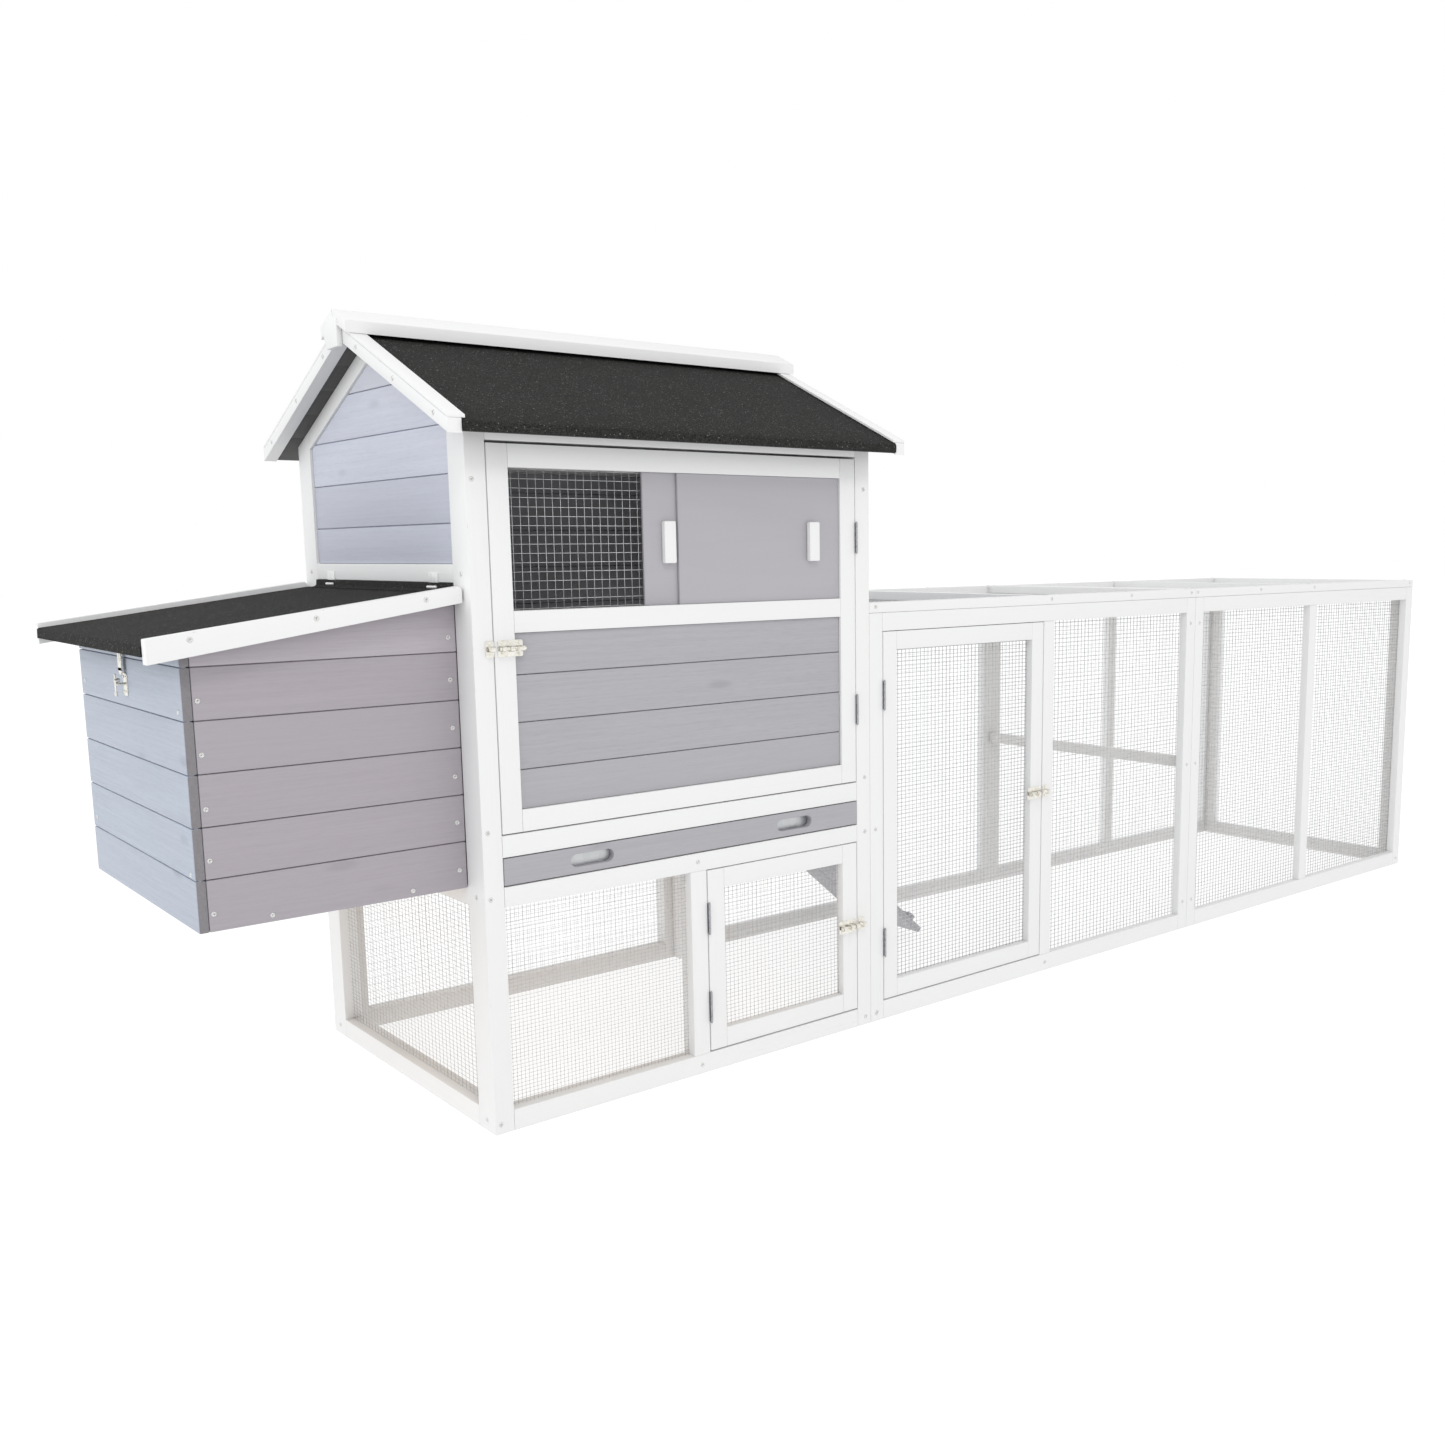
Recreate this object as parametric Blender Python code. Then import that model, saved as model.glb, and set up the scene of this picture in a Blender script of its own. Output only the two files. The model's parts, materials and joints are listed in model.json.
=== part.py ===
"""A timber chicken coop: a gabled house over a pen, a nest box on its left, a flat run on its right.

Metres, +Z up. Sizes are given from the front left foot of the house: x to the right, y to the back, z up.
The empty "coop" shifts them, so that the world origin is the middle of the whole coop's footprint.
"""

from math import cos, pi, sin

import bmesh
import bpy
from mathutils import Vector

# Driving dimensions
HOUSE_LENGTH = 0.720
HOUSE_DEPTH = 0.595
POST_FACE = 0.030
POST_DEPTH = 0.050
BATTEN = 0.030
THIN = 0.017
BOARD = 0.012
COVER = 0.0664
GABLE_JOINT = 0.8596
PANEL_JOINT = 0.519
GAP = 0.0003
WIRE = 0.0012

# Heights in the house
GROUND_RAIL = 0.031
PEN_TOP = 0.328
TRAY_RAIL_TOP = 0.357
SILL_BOTTOM = 0.399
SILL_TOP = 0.430
DOOR_BOTTOM = 0.432
DOOR_TOP = 0.9655
GABLE_RAIL = (0.780, 0.805)

# Roof: height of the felt at the eave, its rise per metre, and its thicknesses
EAVE_OVERHANG = 0.042
VERGE = 0.0215
BARGE = 0.020
EAVE_HEIGHT = 0.990
PITCH = 0.455
FELT = 0.0025
RIDGE_Y = HOUSE_DEPTH / 2
CAP_WIDTH = 0.046
CAP_BOARD = 0.016
CAP_OVERHANG = 0.007

# Nest box and its lid
NEST_LENGTH = 0.361
NEST_FRONT = 0.050
NEST_BACK = 0.545
NEST_BOTTOM = 0.353
LID_LENGTH = 0.405
LID_FRONT = 0.018
LID_BACK = 0.600
LID_PITCH = 0.128
LID_HEIGHT = 0.768

# Doors
STILE = 0.0315
DOOR_THICK = 0.020
WINDOW = (0.063, 0.657, 0.7405, 0.934)
PANEL = (0.063, 0.657, 0.4635, 0.7105)
PEN_POST = (0.3455, 0.3755)
LOWER_DOOR = (0.3775, 0.6885, 0.0335, 0.3265)
RUN_DOOR = (0.752, 1.163, 0.0355, 0.6815)

# Sliding window panels
SLIDER_WIDTH = 0.3158
SLIDER_THICK = 0.004
INNER_LEFT = 0.2822
OUTER_LEFT = 0.3406
HANDLE = (0.024, 0.016, 0.062)
HANDLE_HEIGHT = 0.833

# Run
RUN_END = 2.573
RUN_JOINT = (HOUSE_LENGTH + RUN_END) / 2
RUN_HEIGHT = 0.714
RUN_TOP_RAIL = 0.683
RUN_BOTTOM_RAIL = 0.033
LATCH_STILE = 1.165

# Ramp: foot of its underside, its rise per metre, and its sides
RAMP_FOOT = (1.162, 0.010)
RAMP_RISE = 0.877
RAMP_SIDES = (0.335, 0.545)
RAMP_TOP = 0.7265
POP_HOLE = (0.350, 0.530, 0.402, 0.690)

WHITE = ("white_paint", (0.86, 0.86, 0.85), 0.55, 0.0)
GREY = ("grey_stain", (0.45, 0.45, 0.50), 0.65, 0.0)
BLACK = ("black_felt", (0.02, 0.02, 0.022), 0.95, 0.0)
STEEL = ("galvanised", (0.62, 0.63, 0.62), 0.40, 1.0)
NICKEL = ("nickel", (0.75, 0.73, 0.68), 0.25, 1.0)

X_MIN = -LID_LENGTH
X_MAX = RUN_END
Y_MIN = -EAVE_OVERHANG
Y_MAX = HOUSE_DEPTH + EAVE_OVERHANG
ORIGIN = Vector((-(X_MIN + X_MAX) / 2, -(Y_MIN + Y_MAX) / 2, 0))


def clear_scene():
    for obj in list(bpy.data.objects):
        bpy.data.objects.remove(obj, do_unlink=True)


def make_material(spec):
    name, colour, roughness, metallic = spec
    material = bpy.data.materials.get(name)
    if material is None:
        material = bpy.data.materials.new(name)
        material.use_nodes = True
        shader = material.node_tree.nodes["Principled BSDF"]
        shader.inputs["Base Color"].default_value = (*colour, 1)
        shader.inputs["Roughness"].default_value = roughness
        shader.inputs["Metallic"].default_value = metallic
        material.diffuse_color = (*colour, 1)
    return material


def add_object(name, bm, spec, pivot=(0, 0, 0)):
    """Turns bm, given from the house's front left foot, into an object whose origin is pivot."""
    bmesh.ops.translate(bm, verts=bm.verts, vec=-Vector(pivot))
    bmesh.ops.recalc_face_normals(bm, faces=bm.faces)
    mesh = bpy.data.meshes.new(name)
    bm.to_mesh(mesh)
    bm.free()
    mesh.materials.append(make_material(spec))
    obj = bpy.data.objects.new(name, mesh)
    bpy.context.collection.objects.link(obj)
    obj.parent = bpy.data.objects["coop"]
    obj.location = pivot
    return obj


def point(plane, u, v, w):
    """The point at (u, v) in a plane and w across it. XZ is a front, YZ a side, XY a deck."""
    places = {"XZ": (u, w, v), "YZ": (w, u, v), "XY": (u, v, w)}
    return places[plane]


def extrude(bm, faces, plane, depth):
    grown = bmesh.ops.extrude_face_region(bm, geom=faces)
    moved = [item for item in grown["geom"] if isinstance(item, bmesh.types.BMVert)]
    bmesh.ops.translate(bm, verts=moved, vec=point(plane, 0, 0, depth))


def prism(plane, outline, low, high):
    """A flat outline in a plane, extruded from low to high across it."""
    bm = bmesh.new()
    verts = [bm.verts.new(point(plane, u, v, low)) for u, v in outline]
    extrude(bm, [bm.faces.new(verts)], plane, high - low)
    return bm


def lattice(plane, u_lines, v_lines, voids, low, high):
    """A board divided by u_lines and v_lines, with the cells listed in voids left open."""
    bm = bmesh.new()
    verts = {}
    faces = []
    for i in range(len(u_lines) - 1):
        for j in range(len(v_lines) - 1):
            if (i, j) in voids:
                continue
            corners = []
            for a, b in ((i, j), (i + 1, j), (i + 1, j + 1), (i, j + 1)):
                if (a, b) not in verts:
                    verts[a, b] = bm.verts.new(point(plane, u_lines[a], v_lines[b], low))
                corners.append(verts[a, b])
            faces.append(bm.faces.new(corners))
    extrude(bm, faces, plane, high - low)
    return bm


def box(x, y, z):
    return lattice("XZ", x, z, (), *y)


def inset(edges):
    """A span of (low, high) with the gap taken off both ends."""
    return (edges[0] + GAP, edges[1] - GAP)


def cut(obj, bm):
    """Subtracts the closed solids in bm, in house coordinates, from obj."""
    cutter = add_object(obj.name + "_cutter", bm, GREY)
    cutter.hide_render = True
    cutter.display_type = "WIRE"
    modifier = obj.modifiers.new("cut_" + cutter.name, "BOOLEAN")
    modifier.operation = "DIFFERENCE"
    modifier.object = cutter


def unite(obj, bm):
    """Adds the solids in bm, in house coordinates, to obj."""
    other = add_object(obj.name + "_added", bm, GREY)
    other.hide_render = True
    other.display_type = "WIRE"
    modifier = obj.modifiers.new("add_" + other.name, "BOOLEAN")
    modifier.operation = "UNION"
    modifier.object = other


def groove_cutter(plane, span, heights, face, sign):
    """V grooves along u at the given heights, cut into the face at w = face. Sign is its outward side."""
    bm = bmesh.new()
    half = 0.002
    for height in heights:
        section = [(height - half, face + sign * 0.001), (height + half, face + sign * 0.001)]
        section.append((height, face - sign * 0.0025))
        ends = []
        for u in span:
            ends.append([bm.verts.new(point(plane, u, v, w)) for v, w in section])
        for i in range(3):
            j = (i + 1) % 3
            bm.faces.new((ends[0][i], ends[0][j], ends[1][j], ends[1][i]))
        bm.faces.new(ends[0])
        bm.faces.new(ends[1])
    return bm


def board_heights(low, high, start):
    """The heights of the joints between boards, counted up from start."""
    heights = []
    joint = start
    while joint < high - 0.004:
        if joint > low + 0.004:
            heights.append(joint)
        joint += COVER
    return heights


def felt_top(y):
    return EAVE_HEIGHT + PITCH * (RIDGE_Y + EAVE_OVERHANG - abs(y - RIDGE_Y))


def slope_length(depth):
    """The vertical depth of a layer that is depth thick across the slope."""
    return depth * (1 + PITCH * PITCH) ** 0.5


def under_roof(y):
    return felt_top(y) - slope_length(BOARD + FELT) - GAP


def house_outline(front, back, bottom, drop):
    """A gable wall's outline, its top edge drop below the roof's underside."""
    middle = (RIDGE_Y, under_roof(RIDGE_Y) - drop)
    left = (front, under_roof(front) - drop)
    right = (back, under_roof(back) - drop)
    return [(front, bottom), (back, bottom), right, middle, left]


def side_frame(name, low, high, is_left):
    """Two posts, their rails and the sloping top trims. The right one is open at the ground, to the run."""
    frame = add_object(name, prism("YZ", house_outline(0, HOUSE_DEPTH, 0, 0), low, high), WHITE)
    front = POST_DEPTH
    back = HOUSE_DEPTH - POST_DEPTH
    through = (low - 0.01, high + 0.01)
    ground = GROUND_RAIL if is_left else -0.01
    holes = [[(front, ground), (back, ground), (back, PEN_TOP), (front, PEN_TOP)]]
    drop = slope_length(0.026)
    if is_left:
        lower, upper = GABLE_RAIL
        floor = TRAY_RAIL_TOP
        holes.append([(front, floor), (back, floor), (back, lower), (front, lower)])
        holes.append(house_outline(front, back, upper, drop))
    else:
        holes.append(house_outline(front, back, TRAY_RAIL_TOP, drop))
    for hole in holes:
        cut(frame, prism("YZ", hole, *through))


def gable_boards(name, bottom, faces, outside):
    """The boards that fill a side frame's top opening."""
    front = POST_DEPTH + GAP
    back = HOUSE_DEPTH - POST_DEPTH - GAP
    outline = house_outline(front, back, bottom + GAP, slope_length(0.026) + 2 * GAP)
    boards = add_object(name, prism("YZ", outline, *faces), GREY)
    top = under_roof(RIDGE_Y) - 0.05
    joints = board_heights(bottom, top, GABLE_JOINT - 8 * COVER)
    sign = -1 if outside == faces[0] else 1
    cut(boards, groove_cutter("YZ", (front - 0.01, back + 0.01), joints, outside, sign))
    return boards


def frame_house_front():
    left = POST_FACE + GAP
    right = HOUSE_LENGTH - POST_FACE - GAP
    header = (0.969, under_roof(0) - GAP)
    add_object("door_header_rail", box((left, right), (0, BATTEN), header), WHITE)
    add_object("door_sill_rail", box((left, right), (0, BATTEN), (SILL_BOTTOM, SILL_TOP)), WHITE)
    u_lines = (left, left + 0.004, *PEN_POST, right - 0.001, right)
    v_lines = (0, GROUND_RAIL, PEN_TOP, TRAY_RAIL_TOP)
    voids = ((0, 1), (1, 1), (3, 1), (4, 1))
    add_object("pen_front_frame", lattice("XZ", u_lines, v_lines, voids, 0, BATTEN), WHITE)


def frame_house_back():
    left = POST_FACE + GAP
    right = HOUSE_LENGTH - POST_FACE - GAP
    u_lines = (left, left + 0.020, right - 0.020, right)
    top = under_roof(HOUSE_DEPTH) - GAP
    v_lines = (0, GROUND_RAIL, PEN_TOP, TRAY_RAIL_TOP, top - BATTEN, top)
    back = HOUSE_DEPTH
    frame = lattice("XZ", u_lines, v_lines, ((1, 1), (1, 3)), back - BATTEN, back)
    add_object("back_frame", frame, WHITE)
    x = inset((u_lines[1], u_lines[2]))
    z = inset((TRAY_RAIL_TOP, top - BATTEN))
    y = (back - 0.016, back - 0.004)
    boards = add_object("back_wall_boards", box(x, y, z), GREY)
    joints = board_heights(*z, GABLE_JOINT - 8 * COVER)
    cut(boards, groove_cutter("XZ", (x[0] - 0.01, x[1] + 0.01), joints, y[1], 1))
    pen = box(x, (back - 0.016, back - 0.016 + WIRE), inset((GROUND_RAIL, PEN_TOP)))
    add_object("pen_back_mesh", pen, STEEL)


def fill_pen():
    z = inset((GROUND_RAIL, PEN_TOP))
    x = inset((POST_FACE + GAP, PEN_POST[0]))
    add_object("pen_front_mesh", box(x, (0.014, 0.014 + WIRE), z), STEEL)
    y = inset((POST_DEPTH, HOUSE_DEPTH - POST_DEPTH))
    add_object("pen_left_mesh", box((0.014, 0.014 + WIRE), y, z), STEEL)


def fill_house():
    gable_boards("left_gable_boards", GABLE_RAIL[1], (0.004, 0.016), 0.004)
    outer = HOUSE_LENGTH - 0.004
    boards = gable_boards("right_wall_boards", TRAY_RAIL_TOP, (outer - BOARD, outer), outer)
    y0, y1, z0, z1 = POP_HOLE
    cut(boards, box((outer - 0.03, outer + 0.03), (y0, y1), (z0, z1)))
    x = (POST_FACE + GAP, HOUSE_LENGTH - POST_FACE - GAP)
    y = (BATTEN + GAP, HOUSE_DEPTH - BATTEN - GAP)
    add_object("house_floor", box(x, y, (0.345, TRAY_RAIL_TOP)), GREY)


def roof_layer(name, front, bottom, top, x, spec):
    """One slope of the roof between two depths below the felt's surface."""
    eave = -EAVE_OVERHANG if front else HOUSE_DEPTH + EAVE_OVERHANG
    ridge = RIDGE_Y - GAP if front else RIDGE_Y + GAP
    outline = []
    for y, depth in ((eave, bottom), (ridge, bottom), (ridge, top), (eave, top)):
        outline.append((y, felt_top(y) - slope_length(depth)))
    return add_object(name, prism("YZ", outline, *x), spec)


def build_roof():
    x = (-VERGE + GAP, HOUSE_LENGTH + VERGE - GAP)
    roof_layer("roof_front_board", True, BOARD + FELT, FELT + GAP, x, WHITE)
    roof_layer("roof_back_board", False, BOARD + FELT, FELT + GAP, x, WHITE)
    front = -EAVE_OVERHANG
    back = HOUSE_DEPTH + EAVE_OVERHANG
    depth = slope_length(FELT)
    outline = [(front, felt_top(front)), (RIDGE_Y, felt_top(RIDGE_Y)), (back, felt_top(back))]
    for y in (back, RIDGE_Y, front):
        outline.append((y, felt_top(y) - depth))
    add_object("roof_felt", prism("YZ", outline, *x), BLACK)


def build_verges():
    left = -VERGE
    right = HOUSE_LENGTH + VERGE
    for side, x in (("left", (left - BARGE, left)), ("right", (right, right + BARGE))):
        roof_layer(side + "_front_bargeboard", True, 0.0165, -0.0055, x, WHITE)
        roof_layer(side + "_back_bargeboard", False, 0.0165, -0.0055, x, WHITE)


def build_ridge():
    x = (-VERGE - BARGE - CAP_OVERHANG, HOUSE_LENGTH + VERGE + BARGE + CAP_OVERHANG)
    for name, sign in (("ridge_cap_front", -1), ("ridge_cap_back", 1)):
        outline = []
        for reach, rise in ((0, 0), (CAP_WIDTH, 0), (CAP_WIDTH, 1), (0, 1)):
            y = RIDGE_Y + sign * (GAP + reach)
            base = felt_top(RIDGE_Y) + slope_length(0.0055) + GAP - PITCH * reach
            outline.append((y, base + rise * slope_length(CAP_BOARD)))
        add_object(name, prism("YZ", outline, *x), WHITE)


def lid_top(x):
    return LID_HEIGHT + LID_PITCH * x


def build_nest():
    front = (NEST_FRONT, NEST_FRONT + BOARD)
    back = (NEST_BACK - BOARD, NEST_BACK)
    under = 0.0185
    inner = -NEST_LENGTH + BOARD + GAP
    outline = [(inner, NEST_BOTTOM), (-GAP, NEST_BOTTOM)]
    outline += [(-GAP, lid_top(0) - under), (inner, lid_top(inner) - under)]
    for name, y, outside in (("nest_front_side", front, 0), ("nest_back_side", back, 1)):
        side = add_object(name, prism("XZ", outline, *y), GREY)
        joints = board_heights(NEST_BOTTOM, lid_top(-NEST_LENGTH), NEST_BOTTOM + COVER)
        sign = 1 if outside else -1
        cut(side, groove_cutter("XZ", (inner - 0.01, 0.01), joints, y[outside], sign))
    x = (-NEST_LENGTH, -NEST_LENGTH + BOARD)
    top = lid_top(x[0]) - under
    end = add_object("nest_end", box(x, (NEST_FRONT, NEST_BACK), (NEST_BOTTOM, top)), GREY)
    joints = board_heights(NEST_BOTTOM, top, NEST_BOTTOM + COVER)
    cut(end, groove_cutter("YZ", (NEST_FRONT - 0.01, NEST_BACK + 0.01), joints, x[0], -1))
    floor_top = NEST_BOTTOM + BOARD
    middle = (NEST_FRONT + NEST_BACK) / 2
    half = BOARD / 2
    outline = [(front[1] + GAP, NEST_BOTTOM), (back[0] - GAP, NEST_BOTTOM)]
    outline += [(back[0] - GAP, floor_top), (middle + half, floor_top)]
    outline += [(middle + half, 0.56), (middle - half, 0.56)]
    outline += [(middle - half, floor_top), (front[1] + GAP, floor_top)]
    add_object("nest_floor", prism("YZ", outline, inner, -GAP), GREY)


def lid_layer(name, y, bottom, top, spec, x=(-LID_LENGTH, -0.003)):
    """A flat layer of the lid, between two depths below its felt. It turns on the hinge line."""
    outline = [(x[0], lid_top(x[0]) - bottom), (x[1], lid_top(x[1]) - bottom)]
    outline += [(x[1], lid_top(x[1]) - top), (x[0], lid_top(x[0]) - top)]
    return add_object(name, prism("XZ", outline, *y), spec, (-0.003, 0, 0.772))


def build_lid():
    y = (LID_FRONT + THIN + GAP, LID_BACK - THIN - GAP)
    lid_layer("lid_board", y, BOARD + FELT, FELT + GAP, WHITE)
    lid_layer("lid_felt", y, FELT, 0, BLACK)
    lid_layer("lid_front_batten", (LID_FRONT, LID_FRONT + THIN), 0.024, -0.005, WHITE)
    lid_layer("lid_back_batten", (LID_BACK - THIN, LID_BACK), 0.024, -0.005, WHITE)
    middle = (NEST_FRONT + NEST_BACK) / 2
    strap = box((-0.3675, -0.3655), (middle - 0.008, middle + 0.008), (0.662, 0.700))
    add_object("hasp_strap", strap, NICKEL, (-0.3665, middle, 0.699))


def door_frame(name, edges, rails, pivot, thick):
    """A door with stiles, end rails and any rails between. Edges are x low, x high, z low, z high."""
    x0, x1, z0, z1 = edges
    v_lines = [z0, z0 + STILE]
    for low, high in rails:
        v_lines += [low, high]
    v_lines += [z1 - STILE, z1]
    voids = [(1, row) for row in range(1, len(v_lines) - 1, 2)]
    frame = lattice("XZ", (x0, x0 + STILE, x1 - STILE, x1), v_lines, voids, 0, thick)
    return add_object(name, frame, WHITE, pivot)


def build_bolt(name, tip, height, sign):
    """A barrel bolt's rod with its knob. Tip is its free end, and sign its way out."""
    bm = bmesh.new()
    length = 0.040
    size = {"radius1": 0.0028, "radius2": 0.0028, "depth": length}
    rod = bmesh.ops.create_cone(bm, cap_ends=True, segments=12, **size)
    for vert in rod["verts"]:
        vert.co = Vector((vert.co.z, vert.co.x, vert.co.y))
        vert.co += Vector((tip - sign * length / 2, -0.0085, height))
    obj = add_object(name, bm, NICKEL, (tip, -0.0085, height))
    knob = bmesh.new()
    size = {"radius1": 0.002, "radius2": 0.003, "depth": 0.012}
    stem = bmesh.ops.create_cone(knob, cap_ends=True, segments=12, **size)
    for vert in stem["verts"]:
        vert.co = Vector((vert.co.x, vert.co.z, vert.co.y))
        vert.co += Vector((tip - sign * 0.026, -0.0145, height))
    unite(obj, knob)


def build_upper_door():
    hinge = (HOUSE_LENGTH - POST_FACE, -0.003, 0.7)
    edges = (STILE, HOUSE_LENGTH - STILE, DOOR_BOTTOM, DOOR_TOP)
    door_frame("upper_door_frame", edges, [(PANEL[3], WINDOW[2])], hinge, DOOR_THICK)
    x = inset(WINDOW[:2])
    wire = box(x, (0.016, 0.016 + WIRE), inset(WINDOW[2:]))
    add_object("upper_door_mesh", wire, STEEL, hinge)
    z = inset(PANEL[2:])
    boards = add_object("upper_door_boards", box(x, (0.004, 0.016), z), GREY)
    joints = board_heights(*z, PANEL_JOINT)
    cut(boards, groove_cutter("XZ", (x[0] - 0.01, x[1] + 0.01), joints, 0.004, -1))
    build_slider("inner", INNER_LEFT, 0.0088, INNER_LEFT + 0.0418)
    build_slider("outer", OUTER_LEFT, 0.0035, OUTER_LEFT + SLIDER_WIDTH - 0.058)
    build_bolt("upper_door_bolt", 0.0345, 0.690, -1)


def build_slider(name, left, face, handle_x):
    x = (left, left + SLIDER_WIDTH)
    z = inset(WINDOW[2:])
    add_object(name + "_window_panel", box(x, (face, face + SLIDER_THICK), z), GREY)
    width, depth, height = HANDLE
    x = (handle_x - width / 2, handle_x + width / 2)
    z = (HANDLE_HEIGHT - height / 2, HANDLE_HEIGHT + height / 2)
    add_object(name + "_panel_handle", box(x, (face - depth, face - GAP), z), WHITE)


def build_lower_door():
    x0, x1, z0, z1 = LOWER_DOOR
    hinge = (x0, -0.003, z0)
    door_frame("lower_door_frame", LOWER_DOOR, [], hinge, THIN)
    x = inset((x0 + STILE, x1 - STILE))
    z = inset((z0 + STILE, z1 - STILE))
    add_object("lower_door_mesh", box(x, (0.012, 0.012 + WIRE), z), STEEL, hinge)
    build_bolt("lower_door_bolt", x1 - 0.001, 0.183, 1)


def build_run_door():
    x0, x1, z0, z1 = RUN_DOOR
    hinge = (x0, -0.003, z0)
    door_frame("run_door_frame", RUN_DOOR, [], hinge, THIN)
    x = inset((x0 + STILE, x1 - STILE))
    z = inset((z0 + STILE, z1 - STILE))
    add_object("run_door_mesh", box(x, (0.012, 0.012 + WIRE), z), STEEL, hinge)
    build_bolt("run_door_bolt", x1 - 0.001, 0.358, 1)


def slot_outline(x, z, width, height):
    """Half circles joined by straight sides, as points in the XZ plane."""
    points = []
    radius = height / 2
    for centre, start in ((x + width / 2 - radius, -pi / 2), (x - width / 2 + radius, pi / 2)):
        for step in range(7):
            angle = start + pi * step / 6
            points.append((centre + radius * cos(angle), z + radius * sin(angle)))
    return points


def build_tray():
    left = POST_FACE + 0.001
    right = HOUSE_LENGTH - POST_FACE - 0.001
    z = (TRAY_RAIL_TOP + 0.002, SILL_BOTTOM - 0.0015)
    front = add_object("tray_front", box((left, right), (-0.001, 0.011), z), GREY)
    middle = (z[0] + z[1]) / 2
    for x in (0.173, 0.553):
        cut(front, prism("XZ", slot_outline(x, middle, 0.072, 0.019), -0.02, 0.03))
    x = (left + 0.003, right - 0.003)
    y = (0.0113, 0.555)
    low = TRAY_RAIL_TOP + GAP
    pan = add_object("tray_pan", box(x, y, (low, low + 0.032)), STEEL)
    wall = 0.0015
    inside = box((x[0] + wall, x[1] - wall), (y[0] + wall, y[1] - wall), (low + wall, low + 0.05))
    cut(pan, inside)


def run_panel(name, plane, edges, stiles, rails, low, high):
    """A run frame with end stiles, extra stiles and rails. Edges are u low, u high, v low, v high."""
    u0, u1, v0, v1 = edges
    u_lines = [u0, u0 + BATTEN]
    for left, right in stiles:
        u_lines += [left, right]
    u_lines += [u1 - BATTEN, u1]
    v_lines = (v0, v0 + rails[0], v1 - rails[1], v1)
    voids = [(column, 1) for column in range(1, len(u_lines) - 1, 2)]
    add_object(name, lattice(plane, u_lines, v_lines, voids, low, high), WHITE)


def build_run():
    start = HOUSE_LENGTH + GAP
    first = (start, RUN_JOINT - GAP)
    second = (RUN_JOINT + GAP, RUN_END)
    rails = (RUN_BOTTOM_RAIL, RUN_HEIGHT - RUN_TOP_RAIL)
    top = RUN_HEIGHT - GAP
    back = (HOUSE_DEPTH - THIN, HOUSE_DEPTH)
    middles = []
    for low, high in (first, second):
        middle = (low + high) / 2
        middles.append((middle - BATTEN / 2, middle + BATTEN / 2))
    latch = [(LATCH_STILE, LATCH_STILE + BATTEN)]
    run_panel("run_front_frame_a", "XZ", (*first, 0, top), latch, rails, 0, THIN)
    run_panel("run_front_frame_b", "XZ", (*second, 0, top), middles[1:], rails, 0, THIN)
    run_panel("run_back_frame_a", "XZ", (*first, 0, top), middles[:1], rails, *back)
    run_panel("run_back_frame_b", "XZ", (*second, 0, top), middles[1:], rails, *back)
    across = inset((THIN, HOUSE_DEPTH - THIN))
    run_panel("run_end_frame", "YZ", (*across, 0, top), [], rails, RUN_END - THIN, RUN_END)
    deck = (RUN_HEIGHT, RUN_HEIGHT + THIN)
    rims = (BATTEN, BATTEN)
    run_panel("run_roof_frame_a", "XY", (*first, 0, HOUSE_DEPTH), middles[:1], rims, *deck)
    run_panel("run_roof_frame_b", "XY", (*second, 0, HOUSE_DEPTH), middles[1:], rims, *deck)
    wire_run(start)


def wire_run(start):
    """The wire mesh, stapled to the inner faces of the run's frames."""
    z = (0.003, RUN_HEIGHT - 0.003)
    inner_front = THIN + GAP
    inner_back = HOUSE_DEPTH - THIN - GAP
    inner_end = RUN_END - THIN - GAP
    x = (LATCH_STILE + 0.005, inner_end - WIRE - GAP)
    add_object("run_front_mesh", box(x, (inner_front, inner_front + WIRE), z), STEEL)
    x = (start + 0.001, inner_end - WIRE - GAP)
    add_object("run_back_mesh", box(x, (inner_back - WIRE, inner_back), z), STEEL)
    y = (inner_front + WIRE + GAP, inner_back - WIRE - GAP)
    add_object("run_end_mesh", box((inner_end - WIRE, inner_end), y, z), STEEL)
    deck = (RUN_HEIGHT - GAP - WIRE, RUN_HEIGHT - GAP)
    add_object("run_roof_mesh", box(x, inset(y), deck), STEEL)
    perch = (RUN_JOINT - 0.010, RUN_JOINT + 0.010)
    add_object("run_perch", box(perch, y, (0.351, 0.373)), WHITE)


def build_ramp():
    """A plank with cleats, hooked on the sill of the pop hole."""
    foot_x, foot_z = RAMP_FOOT
    top_z = foot_z + RAMP_RISE * (foot_x - RAMP_TOP)
    along = Vector((foot_x - RAMP_TOP, foot_z - top_z)).normalized()
    out = Vector((-along.y, along.x))
    length = (foot_x - RAMP_TOP) / along.x
    start = Vector((RAMP_TOP, top_z))
    profile = [(0, 0), (length, 0), (length, BOARD)]
    cleats = 5
    for number in range(cleats):
        place = length * (cleats - number - 0.35) / cleats
        profile += [(place + 0.008, BOARD), (place + 0.008, BOARD + 0.009)]
        profile += [(place - 0.008, BOARD + 0.009), (place - 0.008, BOARD)]
    profile.append((0, BOARD))
    outline = []
    for distance, height in profile:
        spot = start + along * distance + out * height
        outline.append((spot.x, spot.y))
    add_object("ramp", prism("XZ", outline, *RAMP_SIDES), GREY, (RAMP_TOP, 0.44, top_z))


def build_house():
    side_frame("left_side_frame", 0, POST_FACE, True)
    side_frame("right_side_frame", HOUSE_LENGTH - POST_FACE, HOUSE_LENGTH, False)
    frame_house_front()
    frame_house_back()
    fill_pen()
    fill_house()
    build_roof()
    build_verges()
    build_ridge()


def main():
    clear_scene()
    coop = bpy.data.objects.new("coop", None)
    bpy.context.collection.objects.link(coop)
    coop.location = ORIGIN
    build_house()
    build_nest()
    build_lid()
    build_upper_door()
    build_lower_door()
    build_tray()
    build_run()
    build_run_door()
    build_ramp()


main()
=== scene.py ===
import json
import math
import random

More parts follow.
